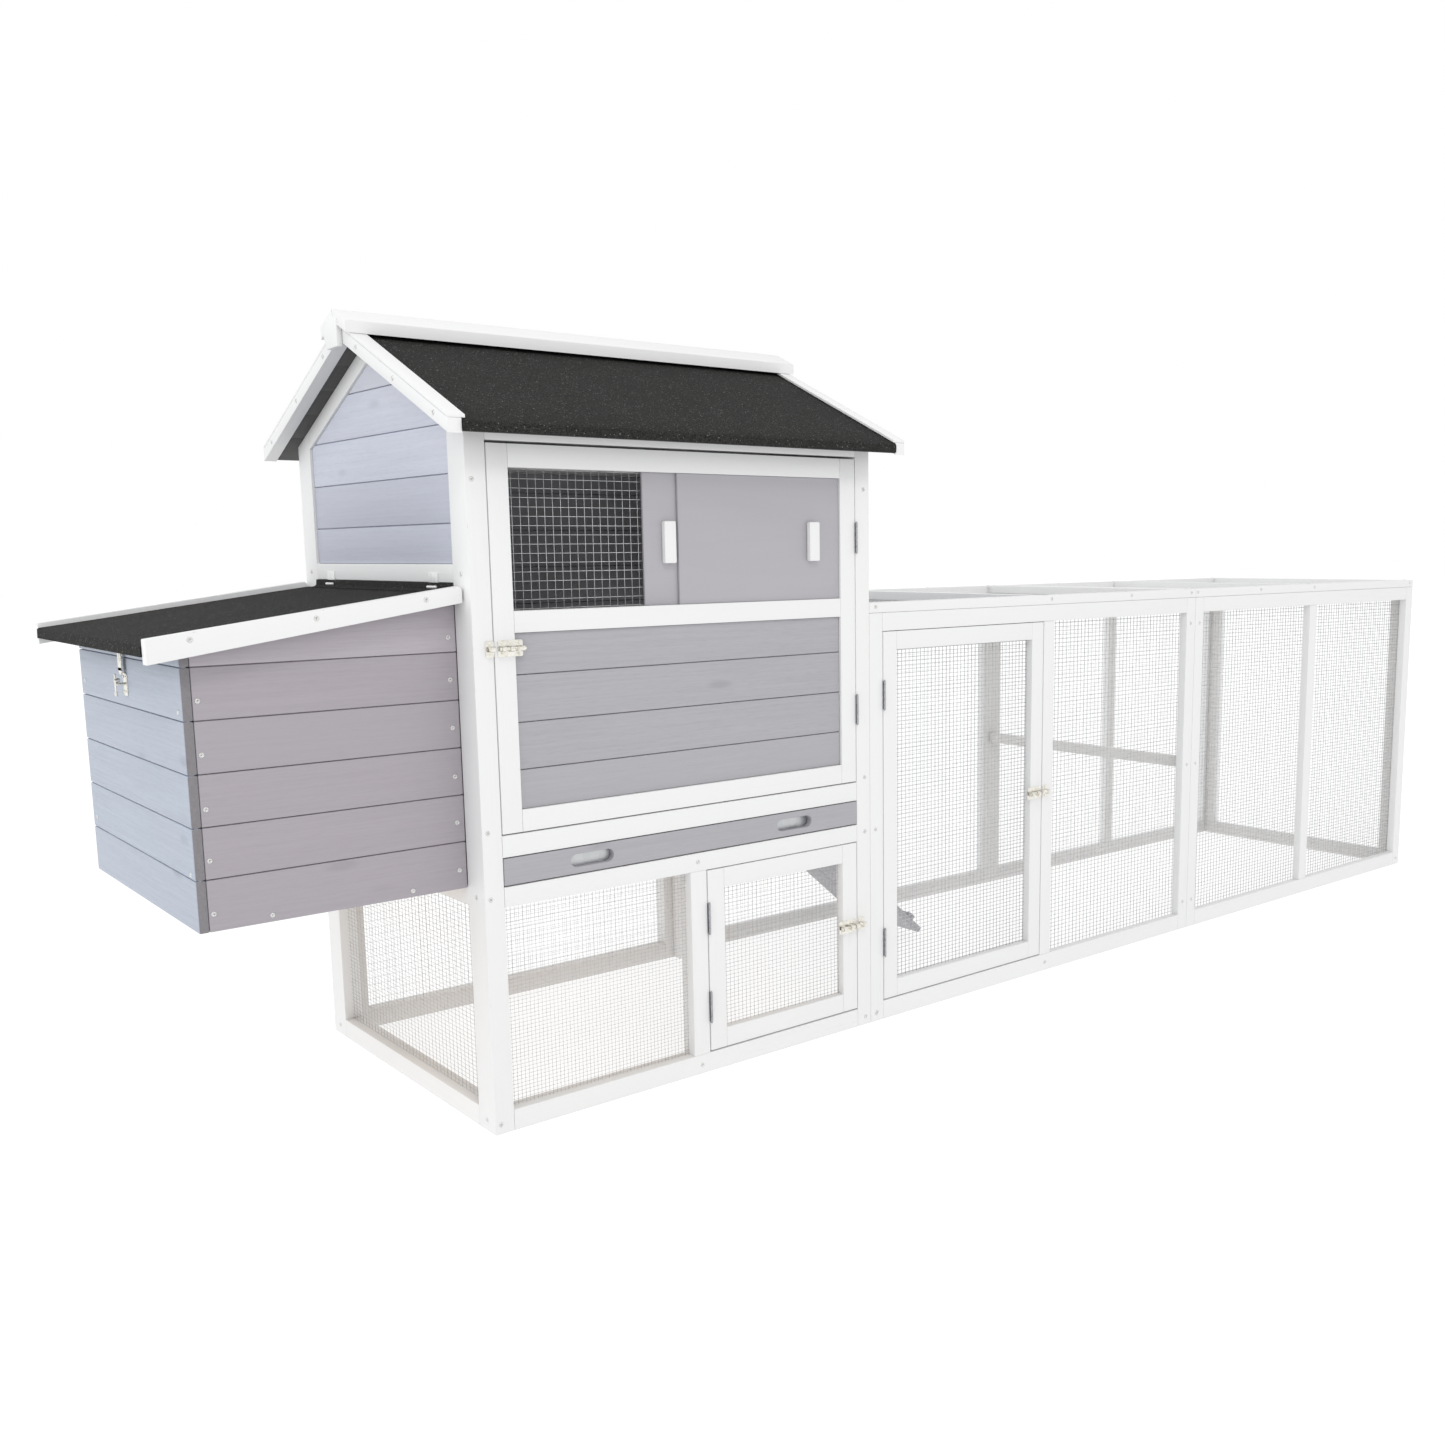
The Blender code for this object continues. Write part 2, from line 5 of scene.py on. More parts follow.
import bmesh
import bpy
from mathutils import Matrix, Vector

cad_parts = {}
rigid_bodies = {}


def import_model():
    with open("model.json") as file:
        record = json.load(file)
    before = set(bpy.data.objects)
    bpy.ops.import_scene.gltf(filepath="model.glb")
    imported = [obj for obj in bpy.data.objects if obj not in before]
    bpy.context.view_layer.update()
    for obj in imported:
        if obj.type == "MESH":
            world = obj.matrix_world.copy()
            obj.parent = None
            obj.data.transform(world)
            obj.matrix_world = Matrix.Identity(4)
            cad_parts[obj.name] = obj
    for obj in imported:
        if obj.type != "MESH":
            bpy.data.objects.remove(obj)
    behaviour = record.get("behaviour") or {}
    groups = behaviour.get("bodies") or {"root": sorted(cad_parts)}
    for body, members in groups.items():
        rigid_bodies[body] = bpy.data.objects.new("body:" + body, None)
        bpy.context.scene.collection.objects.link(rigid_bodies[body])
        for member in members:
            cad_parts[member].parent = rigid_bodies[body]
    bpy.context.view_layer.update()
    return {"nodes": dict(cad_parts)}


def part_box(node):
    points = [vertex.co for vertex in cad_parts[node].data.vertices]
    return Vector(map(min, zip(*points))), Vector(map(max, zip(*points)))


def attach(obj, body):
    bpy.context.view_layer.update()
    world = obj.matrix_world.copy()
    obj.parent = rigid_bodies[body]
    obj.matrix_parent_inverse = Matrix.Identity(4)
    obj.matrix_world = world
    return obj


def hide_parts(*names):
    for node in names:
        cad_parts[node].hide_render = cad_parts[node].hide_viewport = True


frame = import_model()
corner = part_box("left_side_frame")[0]  # the house's front left foot
scene = bpy.context.scene
print("frame loaded:", len(frame["nodes"]), "parts of the model")

# Places and sizes below are in millimetres from the house's front left foot:
# x along the front to the right, y to the back, z up.


def toWorld(place):
    return Vector(place) * 0.001 + corner


# ---- camera and light ----

camera = {
    "place": (-1.93851, -2.03461, 0.81960),
    "yaw": 40.309,  # to the right of straight back
    "pitch": -8.644,
    "roll": -0.530,
    "lens": 34.687,
    "shift": (-0.0707, 0.0270),
}


def addCamera(values):
    yaw = math.radians(values["yaw"])
    pitch = math.radians(values["pitch"])
    roll = math.radians(values["roll"])
    flat = math.cos(pitch)
    ahead = Vector((math.sin(yaw) * flat, math.cos(yaw) * flat, math.sin(pitch)))
    level = ahead.cross(Vector((0, 0, 1))).normalized()
    above = level.cross(ahead)
    right = level * math.cos(roll) + above * math.sin(roll)
    up = right.cross(ahead)
    turn = Matrix((right, up, -ahead)).transposed()
    lens = bpy.data.cameras.new("camera")
    lens.lens = values["lens"]
    lens.sensor_width = 36
    lens.shift_x, lens.shift_y = values["shift"]
    lens.clip_start = 0.05
    viewer = bpy.data.objects.new("camera", lens)
    viewer.matrix_world = Matrix.Translation(values["place"]) @ turn.to_4x4()
    scene.collection.objects.link(viewer)
    scene.camera = viewer


lamps = {
    # from, at, size, power, colour
    "key": ((-1.6, -2.6, 3.4), (-0.6, 0, 0.6), 0.7, 20, (1.0, 0.99, 0.98)),
    "left": ((-4.4, 0.4, 1.8), (-0.9, 0, 0.5), 2.0, 23, (0.93, 0.97, 1.0)),
    "inside": ((-0.50, -0.12, 1.02), (-0.90, 0.24, 0.75), 0.10, 0.16, (1.0, 1.0, 1.0)),
}
skyStrength = 1.0


def addLamps():
    for name, (place, target, size, power, colour) in lamps.items():
        data = bpy.data.lights.new(name, "AREA")
        data.shape = "SQUARE"
        data.size = size
        data.energy = power
        data.color = colour
        lamp = bpy.data.objects.new(name, data)
        lamp.location = place
        lamp.rotation_euler = (Vector(target) - Vector(place)).to_track_quat("-Z", "Y").to_euler()
        scene.collection.objects.link(lamp)
    sky = bpy.data.worlds.new("sky")
    sky.use_nodes = True
    background = sky.node_tree.nodes["Background"]
    background.inputs["Color"].default_value = (1, 1, 1, 1)
    background.inputs["Strength"].default_value = skyStrength
    scene.world = sky
    scene.view_settings.view_transform = "Standard"


addCamera(camera)
addLamps()
print("camera and lamps set")


# ---- materials ----

class Value:
    # one socket of a shader, with arithmetic

    def __init__(self, shader, socket):
        self.shader = shader
        self.socket = socket

    def math(self, operation, first, second=0.0):
        return self.shader.add("ShaderNodeMath", {"operation": operation}, {0: first, 1: second})

    def __add__(self, other):
        return self.math("ADD", self, other)

    __radd__ = __add__

    def __mul__(self, other):
        return self.math("MULTIPLY", self, other)

    __rmul__ = __mul__

    def __sub__(self, other):
        return self.math("SUBTRACT", self, other)

    def __rsub__(self, other):
        return self.math("SUBTRACT", other, self)

    def above(self, low, high):
        # 0 up to low, 1 from high, smooth between
        settings = {"interpolation_type": "SMOOTHSTEP"}
        values = {"Value": self, "From Min": low, "From Max": high}
        return self.shader.add("ShaderNodeMapRange", settings, values)


class Shader:
    def __init__(self, name):
        self.material = bpy.data.materials.new(name)
        self.material.use_nodes = True
        self.tree = self.material.node_tree
        self.surface = self.tree.nodes["Principled BSDF"]

    def add(self, kind, settings=None, values=None, output=0):
        node = self.tree.nodes.new(kind)
        for key, setting in (settings or {}).items():
            if key == "stops":
                self.setStops(node, setting)
            else:
                setattr(node, key, setting)
        for key, value in (values or {}).items():
            self.feed(node.inputs[key], value)
        return Value(self, node.outputs[output])

    def setStops(self, node, stops):
        elements = node.color_ramp.elements
        while len(elements) < len(stops):
            elements.new(0.5)
        for element, (position, colour) in zip(elements, stops):
            element.position = position
            element.color = (*colour, 1)

    def feed(self, socket, value):
        if isinstance(value, Value):
            self.tree.links.new(value.socket, socket)
        else:
            socket.default_value = value

    def mix(self, factor, first, second):
        colours = [c if isinstance(c, Value) else (*c, 1) for c in (first, second)]
        settings = {"data_type": "RGBA"}
        return self.add("ShaderNodeMix", settings, {0: factor, 6: colours[0], 7: colours[1]}, 2)

    def noise(self, place, scale, detail=3.0, roughness=0.55, distortion=0.0):
        values = {"Vector": place, "Scale": scale, "Detail": detail}
        values["Roughness"] = roughness
        values["Distortion"] = distortion
        return self.add("ShaderNodeTexNoise", {}, values, "Fac")

    def stretched(self, place, scale):
        return self.add("ShaderNodeMapping", {}, {"Vector": place, "Scale": scale})

    def attribute(self, name, output):
        return self.add("ShaderNodeAttribute", {"attribute_name": name}, {}, output)

    def objectPlace(self):
        return self.add("ShaderNodeTexCoord", {}, {}, "Object")

    def bump(self, height, strength, distance):
        return self.add("ShaderNodeBump", {}, {"Height": height, "Strength": strength, "Distance": distance})

    def finish(self, **inputs):
        for name, value in inputs.items():
            socket = self.surface.inputs[name.replace("_", " ")]
            if not isinstance(value, Value) and isinstance(value, tuple):
                value = (*value, 1)
            self.feed(socket, value)
        return self.material


def woodFigure(shader):
    # lines along the grain, broad figure, fine pores and the maker's plane marks
    grain = shader.attribute("grain", "Vector")
    lines = shader.noise(shader.stretched(grain, (5, 260, 260)), 1.0, 4.0, 0.6, 0.4)
    figure = shader.noise(shader.stretched(grain, (3, 26, 26)), 1.0, 3.0, 0.55, 1.2)
    pores = shader.noise(shader.stretched(grain, (60, 1500, 1500)), 1.0, 2.0, 0.6)
    cells = {"Vector": shader.stretched(grain, (5, 16, 16)), "Scale": 1.0}
    knots = shader.add("ShaderNodeTexVoronoi", {}, cells, "Distance")
    return lines, figure, pores, 1 - knots.above(0.04, 0.16)


paintLook = {
    "thin": 0.94,  # how much darker the paint is where the grain lifts it
    "worn": (0.62, 0.54, 0.44),
    "gloss": (0.42, 0.58),
}


def paint(name, base, cool):
    shader = Shader(name)
    lines, figure, pores, knots = woodFigure(shader)
    tone = shader.attribute("tone", "Fac")
    edge = shader.attribute("edge", "Fac")
    patch = shader.noise(shader.attribute("grain", "Vector"), 55.0, 4.0, 0.7)
    lifted = lines.above(0.52, 0.78) * 0.30 + figure.above(0.5, 0.75) * 0.15 + knots * 0.25
    colour = shader.mix(lifted, base, tuple(part * paintLook["thin"] for part in base))
    colour = shader.mix(tone * 0.3, colour, cool)
    worn = edge * patch.above(0.62, 0.70) * 0.55
    colour = shader.mix(worn, colour, paintLook["worn"])
    low, high = paintLook["gloss"]
    rough = lines * (high - low) + low
    height = lines * 0.6 + pores * 0.25 + figure * 0.15
    normal = shader.bump(height, 0.22, 0.0012)
    return shader.finish(Base_Color=colour, Roughness=rough, Normal=normal)


def bareTimber():
    shader = Shader("bareTimber")
    lines, figure, pores, knots = woodFigure(shader)
    tone = shader.attribute("tone", "Fac")
    colour = shader.mix(lines.above(0.3, 0.75), (0.66, 0.50, 0.36), (0.52, 0.36, 0.24))
    colour = shader.mix(knots * 0.8, colour, (0.26, 0.15, 0.09))
    colour = shader.mix(tone * 0.35, colour, (0.70, 0.56, 0.43))
    height = lines * 0.7 + pores * 0.3
    normal = shader.bump(height, 0.4, 0.0012)
    return shader.finish(Base_Color=colour, Roughness=figure * 0.15 + 0.62, Normal=normal)


def greyStain(name, pale, deep, tint):
    # a thin stain: the grain shows darker, and each board takes it a little differently
    shader = Shader(name)
    lines, figure, pores, knots = woodFigure(shader)
    tone = shader.attribute("tone", "Fac")
    edge = shader.attribute("edge", "Fac")
    grain = shader.attribute("grain", "Vector")
    dashes = shader.noise(shader.stretched(grain, (42, 620, 620)), 1.0, 2.0, 0.5)
    marks = lines.above(0.25, 0.80) * 0.50 + figure * 0.20 + dashes.above(0.45, 0.70) * 0.30
    colour = shader.mix(marks, pale, deep)
    colour = shader.mix(tone * 0.55, colour, tint)
    blotch = shader.noise(shader.stretched(grain, (4, 9, 9)), 1.0, 3.0, 0.6)
    colour = shader.mix(blotch.above(0.45, 0.75) * 0.30, colour, tint)
    colour = shader.mix(knots * 0.28, colour, tuple(part * 0.6 for part in deep))
    colour = shader.mix(edge * 0.35, colour, tuple(part * 0.70 for part in deep))
    height = lines * 0.6 + pores * 0.3 + knots * 0.2
    normal = shader.bump(height, 0.30, 0.0012)
    return shader.finish(Base_Color=colour, Roughness=lines * 0.16 + 0.55, Normal=normal)


def greyPanel():
    # the sliding panels: smooth plywood, sprayed
    shader = Shader("greyPanel")
    lines, figure, pores, knots = woodFigure(shader)
    edge = shader.attribute("edge", "Fac")
    marks = figure.above(0.3, 0.8) * 0.35 + pores * 0.12
    colour = shader.mix(marks, (0.410, 0.400, 0.428), (0.370, 0.360, 0.388))
    colour = shader.mix(edge * 0.3, colour, (0.30, 0.29, 0.32))
    normal = shader.bump(lines * 0.4 + pores * 0.5, 0.15, 0.0008)
    return shader.finish(Base_Color=colour, Roughness=pores * 0.1 + 0.5, Normal=normal)


def mineralFelt():
    shader = Shader("mineralFelt")
    place = shader.objectPlace()
    grit = shader.add("ShaderNodeTexVoronoi", {}, {"Vector": place, "Scale": 820.0}, "Distance")
    chip = shader.add("ShaderNodeTexVoronoi", {}, {"Vector": place, "Scale": 820.0}, "Color")
    shade = shader.add("ShaderNodeSeparateColor", {}, {"Color": chip}, "Red")
    patch = shader.noise(place, 14.0, 4.0, 0.6)
    bald = shader.noise(place, 90.0, 2.0, 0.5)
    colour = shader.mix(shade, (0.006, 0.006, 0.006), (0.050, 0.050, 0.048))
    colour = shader.mix(patch.above(0.4, 0.7) * 0.4, colour, (0.022, 0.022, 0.021))
    colour = shader.mix(shade.above(0.982, 0.99) * 0.50, colour, (0.30, 0.30, 0.29))
    colour = shader.mix(bald.above(0.70, 0.78) * 0.6, colour, (0.010, 0.010, 0.011))
    height = (1 - grit) * 0.7 + patch * 0.6
    normal = shader.bump(height, 0.55, 0.0015)
    rough = shade * 0.15 + 0.82
    return shader.finish(Base_Color=colour, Roughness=rough, Normal=normal, Specular_IOR_Level=0.12)


def galvanisedWire(name, pale, dark):
    shader = Shader(name)
    place = shader.objectPlace()
    dull = shader.noise(place, 130.0, 3.0, 0.6)
    colour = shader.mix(dull.above(0.35, 0.7), pale, dark)
    normal = shader.bump(dull, 0.2, 0.0003)
    return shader.finish(Base_Color=colour, Roughness=dull * 0.2 + 0.32, Metallic=0.55, Normal=normal)


def zincSheet():
    shader = Shader("zincSheet")
    place = shader.objectPlace()
    spangle = shader.add("ShaderNodeTexVoronoi", {}, {"Vector": place, "Scale": 75.0}, "Color")
    shade = shader.add("ShaderNodeSeparateColor", {}, {"Color": spangle}, "Red")
    stain = shader.noise(place, 9.0, 4.0, 0.65)
    colour = shader.mix(shade, (0.52, 0.54, 0.55), (0.66, 0.67, 0.68))
    colour = shader.mix(stain.above(0.55, 0.8) * 0.4, colour, (0.42, 0.42, 0.41))
    normal = shader.bump(stain, 0.15, 0.001)
    return shader.finish(Base_Color=colour, Roughness=shade * 0.15 + 0.32, Metallic=0.9, Normal=normal)


def nickelPlate(name, clean, dull):
    shader = Shader(name)
    place = shader.objectPlace()
    haze = shader.noise(place, 210.0, 4.0, 0.6)
    pits = shader.noise(place, 900.0, 2.0, 0.5)
    colour = shader.mix(haze.above(0.4, 0.75) * 0.6, clean, dull)
    normal = shader.bump(haze * 0.6 + pits * 0.4, 0.18, 0.0004)
    return shader.finish(Base_Color=colour, Roughness=haze * 0.25 + 0.16, Metallic=1.0, Normal=normal)


def screwSteel():
    shader = Shader("screwSteel")
    place = shader.objectPlace()
    haze = shader.noise(place, 400.0, 3.0, 0.6)
    colour = shader.mix(haze, (0.86, 0.86, 0.85), (0.62, 0.62, 0.60))
    return shader.finish(Base_Color=colour, Roughness=haze * 0.2 + 0.25, Metallic=0.35)


def paleFloor():
    shader = Shader("paleFloor")
    place = shader.objectPlace()
    cloud = shader.noise(place, 2.0, 2.0, 0.5)
    colour = shader.mix(cloud, (0.22, 0.22, 0.22), (0.21, 0.21, 0.21))
    glow = {"Emission_Color": (1.0, 1.0, 1.0), "Emission_Strength": 0.83}
    return shader.finish(Base_Color=colour, Roughness=0.9, **glow)


white = paint("whitePaint", (0.790, 0.790, 0.788), (0.775, 0.785, 0.795))
# a greyer copy of the white paint: painted shade on the faces inside the run and on the perch
innerShadePaint = paint("greyInnerShadePaint", (0.715, 0.700, 0.685), (0.69, 0.685, 0.68))
bare = bareTimber()
lilac = greyStain("lilacStain", (0.455, 0.420, 0.455), (0.370, 0.340, 0.375), (0.420, 0.400, 0.435))
grey = greyStain("greyStain", (0.415, 0.408, 0.435), (0.335, 0.330, 0.358), (0.390, 0.385, 0.405))
# bluer, lighter copies of the grey stain, with its grain, for boards that face left: painted cool light; the
# gable's copy is lighter still
coolLitGrey = greyStain("coolLitGreyStain", (0.435, 0.490, 0.570), (0.345, 0.380, 0.440), (0.430, 0.440, 0.500))
brightCoolLitGrey = greyStain("brightCoolLitGreyStain", (0.620, 0.650, 0.755), (0.500, 0.525, 0.620), (0.600, 0.600, 0.640))
# near-black boards, a painted shade: they stand in for the shade under the eaves and under the lid
dark = greyStain("darkShadeBoards", (0.080, 0.080, 0.078), (0.050, 0.050, 0.048), (0.065, 0.065, 0.063))
panelGrey = greyPanel()
felt = mineralFelt()
wire = galvanisedWire("galvanisedWire", (0.60, 0.61, 0.61), (0.45, 0.46, 0.47))
brightWire = galvanisedWire("brightWire", (0.88, 0.885, 0.885), (0.78, 0.785, 0.79))
endGrain = greyStain("endGrain", (0.300, 0.285, 0.300), (0.190, 0.178, 0.190), (0.250, 0.240, 0.260))
zinc = zincSheet()
nickel = nickelPlate("nickelPlate", (0.84, 0.82, 0.76), (0.58, 0.56, 0.48))
hingeSteel = nickelPlate("hingeSteel", (0.42, 0.43, 0.45), (0.20, 0.205, 0.22))
screwMetal = screwSteel()
print("materials made")


# ---- timber ----

sharpAngle = math.radians(35)


def spot(plane, u, v, w):
    places = {"XZ": (u, w, v), "YZ": (w, u, v), "XY": (u, v, w)}
    return Vector(places[plane])


def rectangle(u, v):
    return [(u[0], v[0]), (u[1], v[0]), (u[1], v[1]), (u[0], v[1])]


def linked(name, mesh):
    piece = bpy.data.objects.new(name, mesh)
    scene.collection.objects.link(piece)
    return piece


def smoothed(mesh):
    # smooth shading, with the edges kept sharp
    mesh.polygons.foreach_set("use_smooth", [True] * len(mesh.polygons))
    mesh.set_sharp_from_angle(angle=sharpAngle)


def absorb(bm, other):
    # adds one bmesh to another
    mesh = bpy.data.meshes.new("part")
    other.to_mesh(mesh)
    other.free()
    bm.from_mesh(mesh)
    bpy.data.meshes.remove(mesh)


def plank(plane, outline, low, high, bevel=1.0):
    # a flat outline with its thickness, and softened edges
    bm = bmesh.new()
    lower = [bm.verts.new(spot(plane, u, v, low)) for u, v in outline]
    upper = [bm.verts.new(spot(plane, u, v, high)) for u, v in outline]
    bm.faces.new(lower)
    bm.faces.new(upper)
    for i in range(len(outline)):
        j = (i + 1) % len(outline)
        bm.faces.new((lower[i], lower[j], upper[j], upper[i]))
    bmesh.ops.recalc_face_normals(bm, faces=bm.faces)
    sides = set(bm.faces)
    if bevel:
        options = {"offset": bevel, "offset_type": "OFFSET", "segments": 2, "profile": 0.6}
        bmesh.ops.bevel(bm, geom=list(bm.edges), affect="EDGES", clamp_overlap=True, **options)
    areas = sorted((face.calc_area() for face in bm.faces), reverse=True)
    limit = areas[min(len(outline) + 1, len(areas) - 1)] * 0.999
    for face in bm.faces:
        face.tag = face.calc_area() < limit
    return bm


def bar(x, y, z, bevel=1.0):
    return plank("XZ", rectangle(x, z), y[0], y[1], bevel)


class Pile:
    # timbers gathered into one mesh, each with its own grain, tone and worn edges

    def __init__(self, seed):
        self.points = []
        self.faces = []
        self.grain = []
        self.tone = []
        self.edge = []
        self.slots = []
        self.random = random.Random(seed)

    def add(self, bm, along, slot=0, bareSides=None):
        along = Vector(along).normalized()
        helper = Vector((0, 0, 1)) if abs(along.z) < 0.8 else Vector((0, 1, 0))
        second = along.cross(helper).normalized()
        third = along.cross(second)
        shift = Vector([self.random.uniform(0, 40) for _ in range(3)])
        tone = self.random.random()
        start = len(self.points)
        bm.verts.index_update()
        for vert in bm.verts:
            place = toWorld(vert.co)
            self.points.append(place)
            self.grain.append(Vector((place.dot(along), place.dot(second), place.dot(third))) + shift)
            self.tone.append(tone)
        for face in bm.faces:
            self.faces.append([start + vert.index for vert in face.verts])
            self.edge.append(1.0 if face.tag else 0.0)
            isBare = any(face.normal.dot(Vector(side)) > 0.9 for side in bareSides or ())
            self.slots.append(1 if isBare else slot)
        bm.free()

    def toObject(self, name, materials):
        mesh = bpy.data.meshes.new(name)
        mesh.from_pydata(self.points, [], self.faces)
        grain = mesh.attributes.new("grain", "FLOAT_VECTOR", "POINT")
        grain.data.foreach_set("vector", [value for place in self.grain for value in place])
        tone = mesh.attributes.new("tone", "FLOAT", "POINT")
        tone.data.foreach_set("value", self.tone)
        edge = mesh.attributes.new("edge", "FLOAT", "FACE")
        edge.data.foreach_set("value", self.edge)
        for material in materials:
            mesh.materials.append(material)
        mesh.polygons.foreach_set("material_index", self.slots)
        smoothed(mesh)
        return linked(name, mesh)


def standFor(piece, body, slotName, *nodes):
    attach(piece, body)
    if nodes:
        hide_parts(*nodes)
    return piece


def timber(name, node, body, slotName, materials, parts, seed):
    # parts: (bmesh, direction of its grain), with the sides that take the second material
    pile = Pile(seed)
    for part in parts:
        pile.add(*part)
    return standFor(pile.toObject(name, materials), body, slotName, node)


def whiteTimber(name, node, parts, seed, body="coop", second=None):
    materials = [white, second] if second else [white]
    timber(name, node, body, "white_paint", materials, parts, seed)


def greyTimber(name, node, parts, seed, materials, body="coop"):
    timber(name, node, body, "grey_stain", materials, parts, seed)


along = {"x": (1, 0, 0), "y": (0, 1, 0), "z": (0, 0, 1)}

house = {
    "length": 720,
    "depth": 595,
    "postFace": 30,
    "postDepth": 50,
    "batten": 30,
    "groundRail": 31,
    "penTop": 328,
    "trayRail": 357,
    "sill": (399, 430),
    "header": 969,
    "gableRail": (780, 805),
    "gap": 0.3,
}
roof = {
    "eave": 990,  # top of the felt at the eave
    "pitch": 0.455,
    "overhang": 42,
    "verge": 21.5,
    "barge": 20,
    "felt": 2.5,
    "board": 12,
    "capWidth": 46,
    "capThick": 16,
    "capOverhang": 7,
    "trim": 26,
}
ridgeY = house["depth"] / 2
slope = math.sqrt(1 + roof["pitch"] ** 2)
frontBack = {-1: "front", 1: "back"}


def feltTop(y):
    return roof["eave"] + roof["pitch"] * (ridgeY + roof["overhang"] - abs(y - ridgeY))


def roofLine(y, depth):
    return feltTop(y) - depth * slope


def underRoof(y):
    return roofLine(y, roof["board"] + roof["felt"]) - house["gap"]


def sideFrame(name, x, isLeft, seed):
    # the right one is open at the ground, towards the run
    depth = house["depth"]
    inner = house["postDepth"]
    parts = []
    for y0, y1 in ((0, inner), (depth - inner, depth)):
        outline = [(y0, 0), (y1, 0), (y1, underRoof(y1)), (y0, underRoof(y0))]
        parts.append((plank("YZ", outline, *x), along["z"]))
    rails = [(house["penTop"], house["trayRail"])]
    if isLeft:
        rails += [(0, house["groundRail"]), house["gableRail"]]
    for z in rails:
        parts.append((bar(x, (inner, depth - inner), z), along["y"]))
    drop = roof["trim"] * slope
    for y in (inner, depth - inner):
        low, high = underRoof(y), underRoof(ridgeY)
        outline = [(y, low), (y, low - drop), (ridgeY, high - drop), (ridgeY, high)]
        direction = (0, ridgeY - y, high - low)
        parts.append((plank("YZ", outline, *x), direction))
    whiteTimber(name + "_bars", name, parts, seed, second=bare)


def houseFrames():
    face = house["postFace"]
    length = house["length"]
    depth = house["depth"]
    sideFrame("left_side_frame", (0, face), True, 11)
    sideFrame("right_side_frame", (length - face, length), False, 12)
    x = (face + house["gap"], length - face - house["gap"])
    y = (0, house["batten"])
    parts = [(bar(x, y, (house["header"], underRoof(0) - 0.3)), along["x"])]
    whiteTimber("door_header", "door_header_rail", parts, 13)
    parts = [(bar(x, y, house["sill"]), along["x"])]
    whiteTimber("door_sill", "door_sill_rail", parts, 14)
    parts = [
        (bar(x, y, (0, house["groundRail"])), along["x"]),
        (bar(x, y, (house["penTop"], house["trayRail"])), along["x"]),
        (bar((345.5, 375.5), y, (house["groundRail"], house["penTop"])), along["z"]),
    ]
    whiteTimber("pen_front", "pen_front_frame", parts, 15)
    y = (depth - house["batten"], depth)
    top = underRoof(depth) - 0.3
    # the back frame's inner faces take the grey painted shade
    inside = [(0, -1, 0)]
    parts = [(bar((x[0], x[0] + 20), y, (0, top)), along["z"], 0, inside)]
    parts.append((bar((x[1] - 20, x[1]), y, (0, top)), along["z"], 0, inside))
    inner = (x[0] + 20, x[1] - 20)
    for z in ((0, house["groundRail"]), (house["penTop"], house["trayRail"]), (top - 30, top)):
        parts.append((bar(inner, y, z), along["x"], 0, inside))
    whiteTimber("back_frame_bars", "back_frame", parts, 16, second=innerShadePaint)


boards = {"cover": 66.4, "joint": 859.6, "slot": 1.0, "edge": 2.0, "tongue": 4, "least": 4}


def boardRows(low, high, start):
    # the joints between boards, from low to high
    joint = start
    while joint > low:
        joint -= boards["cover"]
    joints = []
    while joint < high:
        if joint - low > boards["least"] and high - joint > boards["least"]:
            joints.append(joint)
        joint += boards["cover"]
    lines = [low, *joints, high]
    return list(zip(lines, lines[1:]))


def cutSlope(bm, point, outward):
    # takes off what lies past a plane, and closes the cut
    geometry = list(bm.verts) + list(bm.edges) + list(bm.faces)
    cut = bmesh.ops.bisect_plane(bm, geom=geometry, plane_co=point, plane_no=outward, clear_outer=True)
    edges = [item for item in cut["geom_cut"] if isinstance(item, bmesh.types.BMEdge)]
    if edges:
        bmesh.ops.holes_fill(bm, edges=edges)


def boardWall(plane, u, z, w, start, cuts=(), hole=None, inside=None):
    # tongued boards that fill u by z, between the two depths w
    parts = []
    direction = along["x"] if plane == "XZ" else along["y"]
    middle = (w[0] + w[1]) / 2
    for low, high in boardRows(z[0], z[1], start):
        spans = [u]
        if hole and low < hole[1][1] and high > hole[1][0]:
            spans = [(u[0], hole[0][0]), (hole[0][1], u[1])]
            for top, bottom in ((high, hole[1][1]), (hole[1][0], low)):
                if top - bottom > 1:
                    filler = plank(plane, rectangle(hole[0], (bottom, top)), w[0], w[1], 0.5)
                    parts.append((filler, direction, 0, inside))
        base = low + (boards["slot"] if low > z[0] else 0)
        for left, right in spans:
            pieces = [plank(plane, rectangle((left, right), (base, high)), w[0], w[1], boards["edge"])]
            tongue = rectangle((left + 1, right - 1), (low - boards["tongue"], low + boards["tongue"]))
            if low > z[0]:
                pieces.append(plank(plane, tongue, middle - 2, middle + 2, 0))
            for piece in pieces:
                for point, outward in cuts:
                    cutSlope(piece, point, outward)
                if piece.faces:
                    parts.append((piece, direction, 0, inside))
    return parts


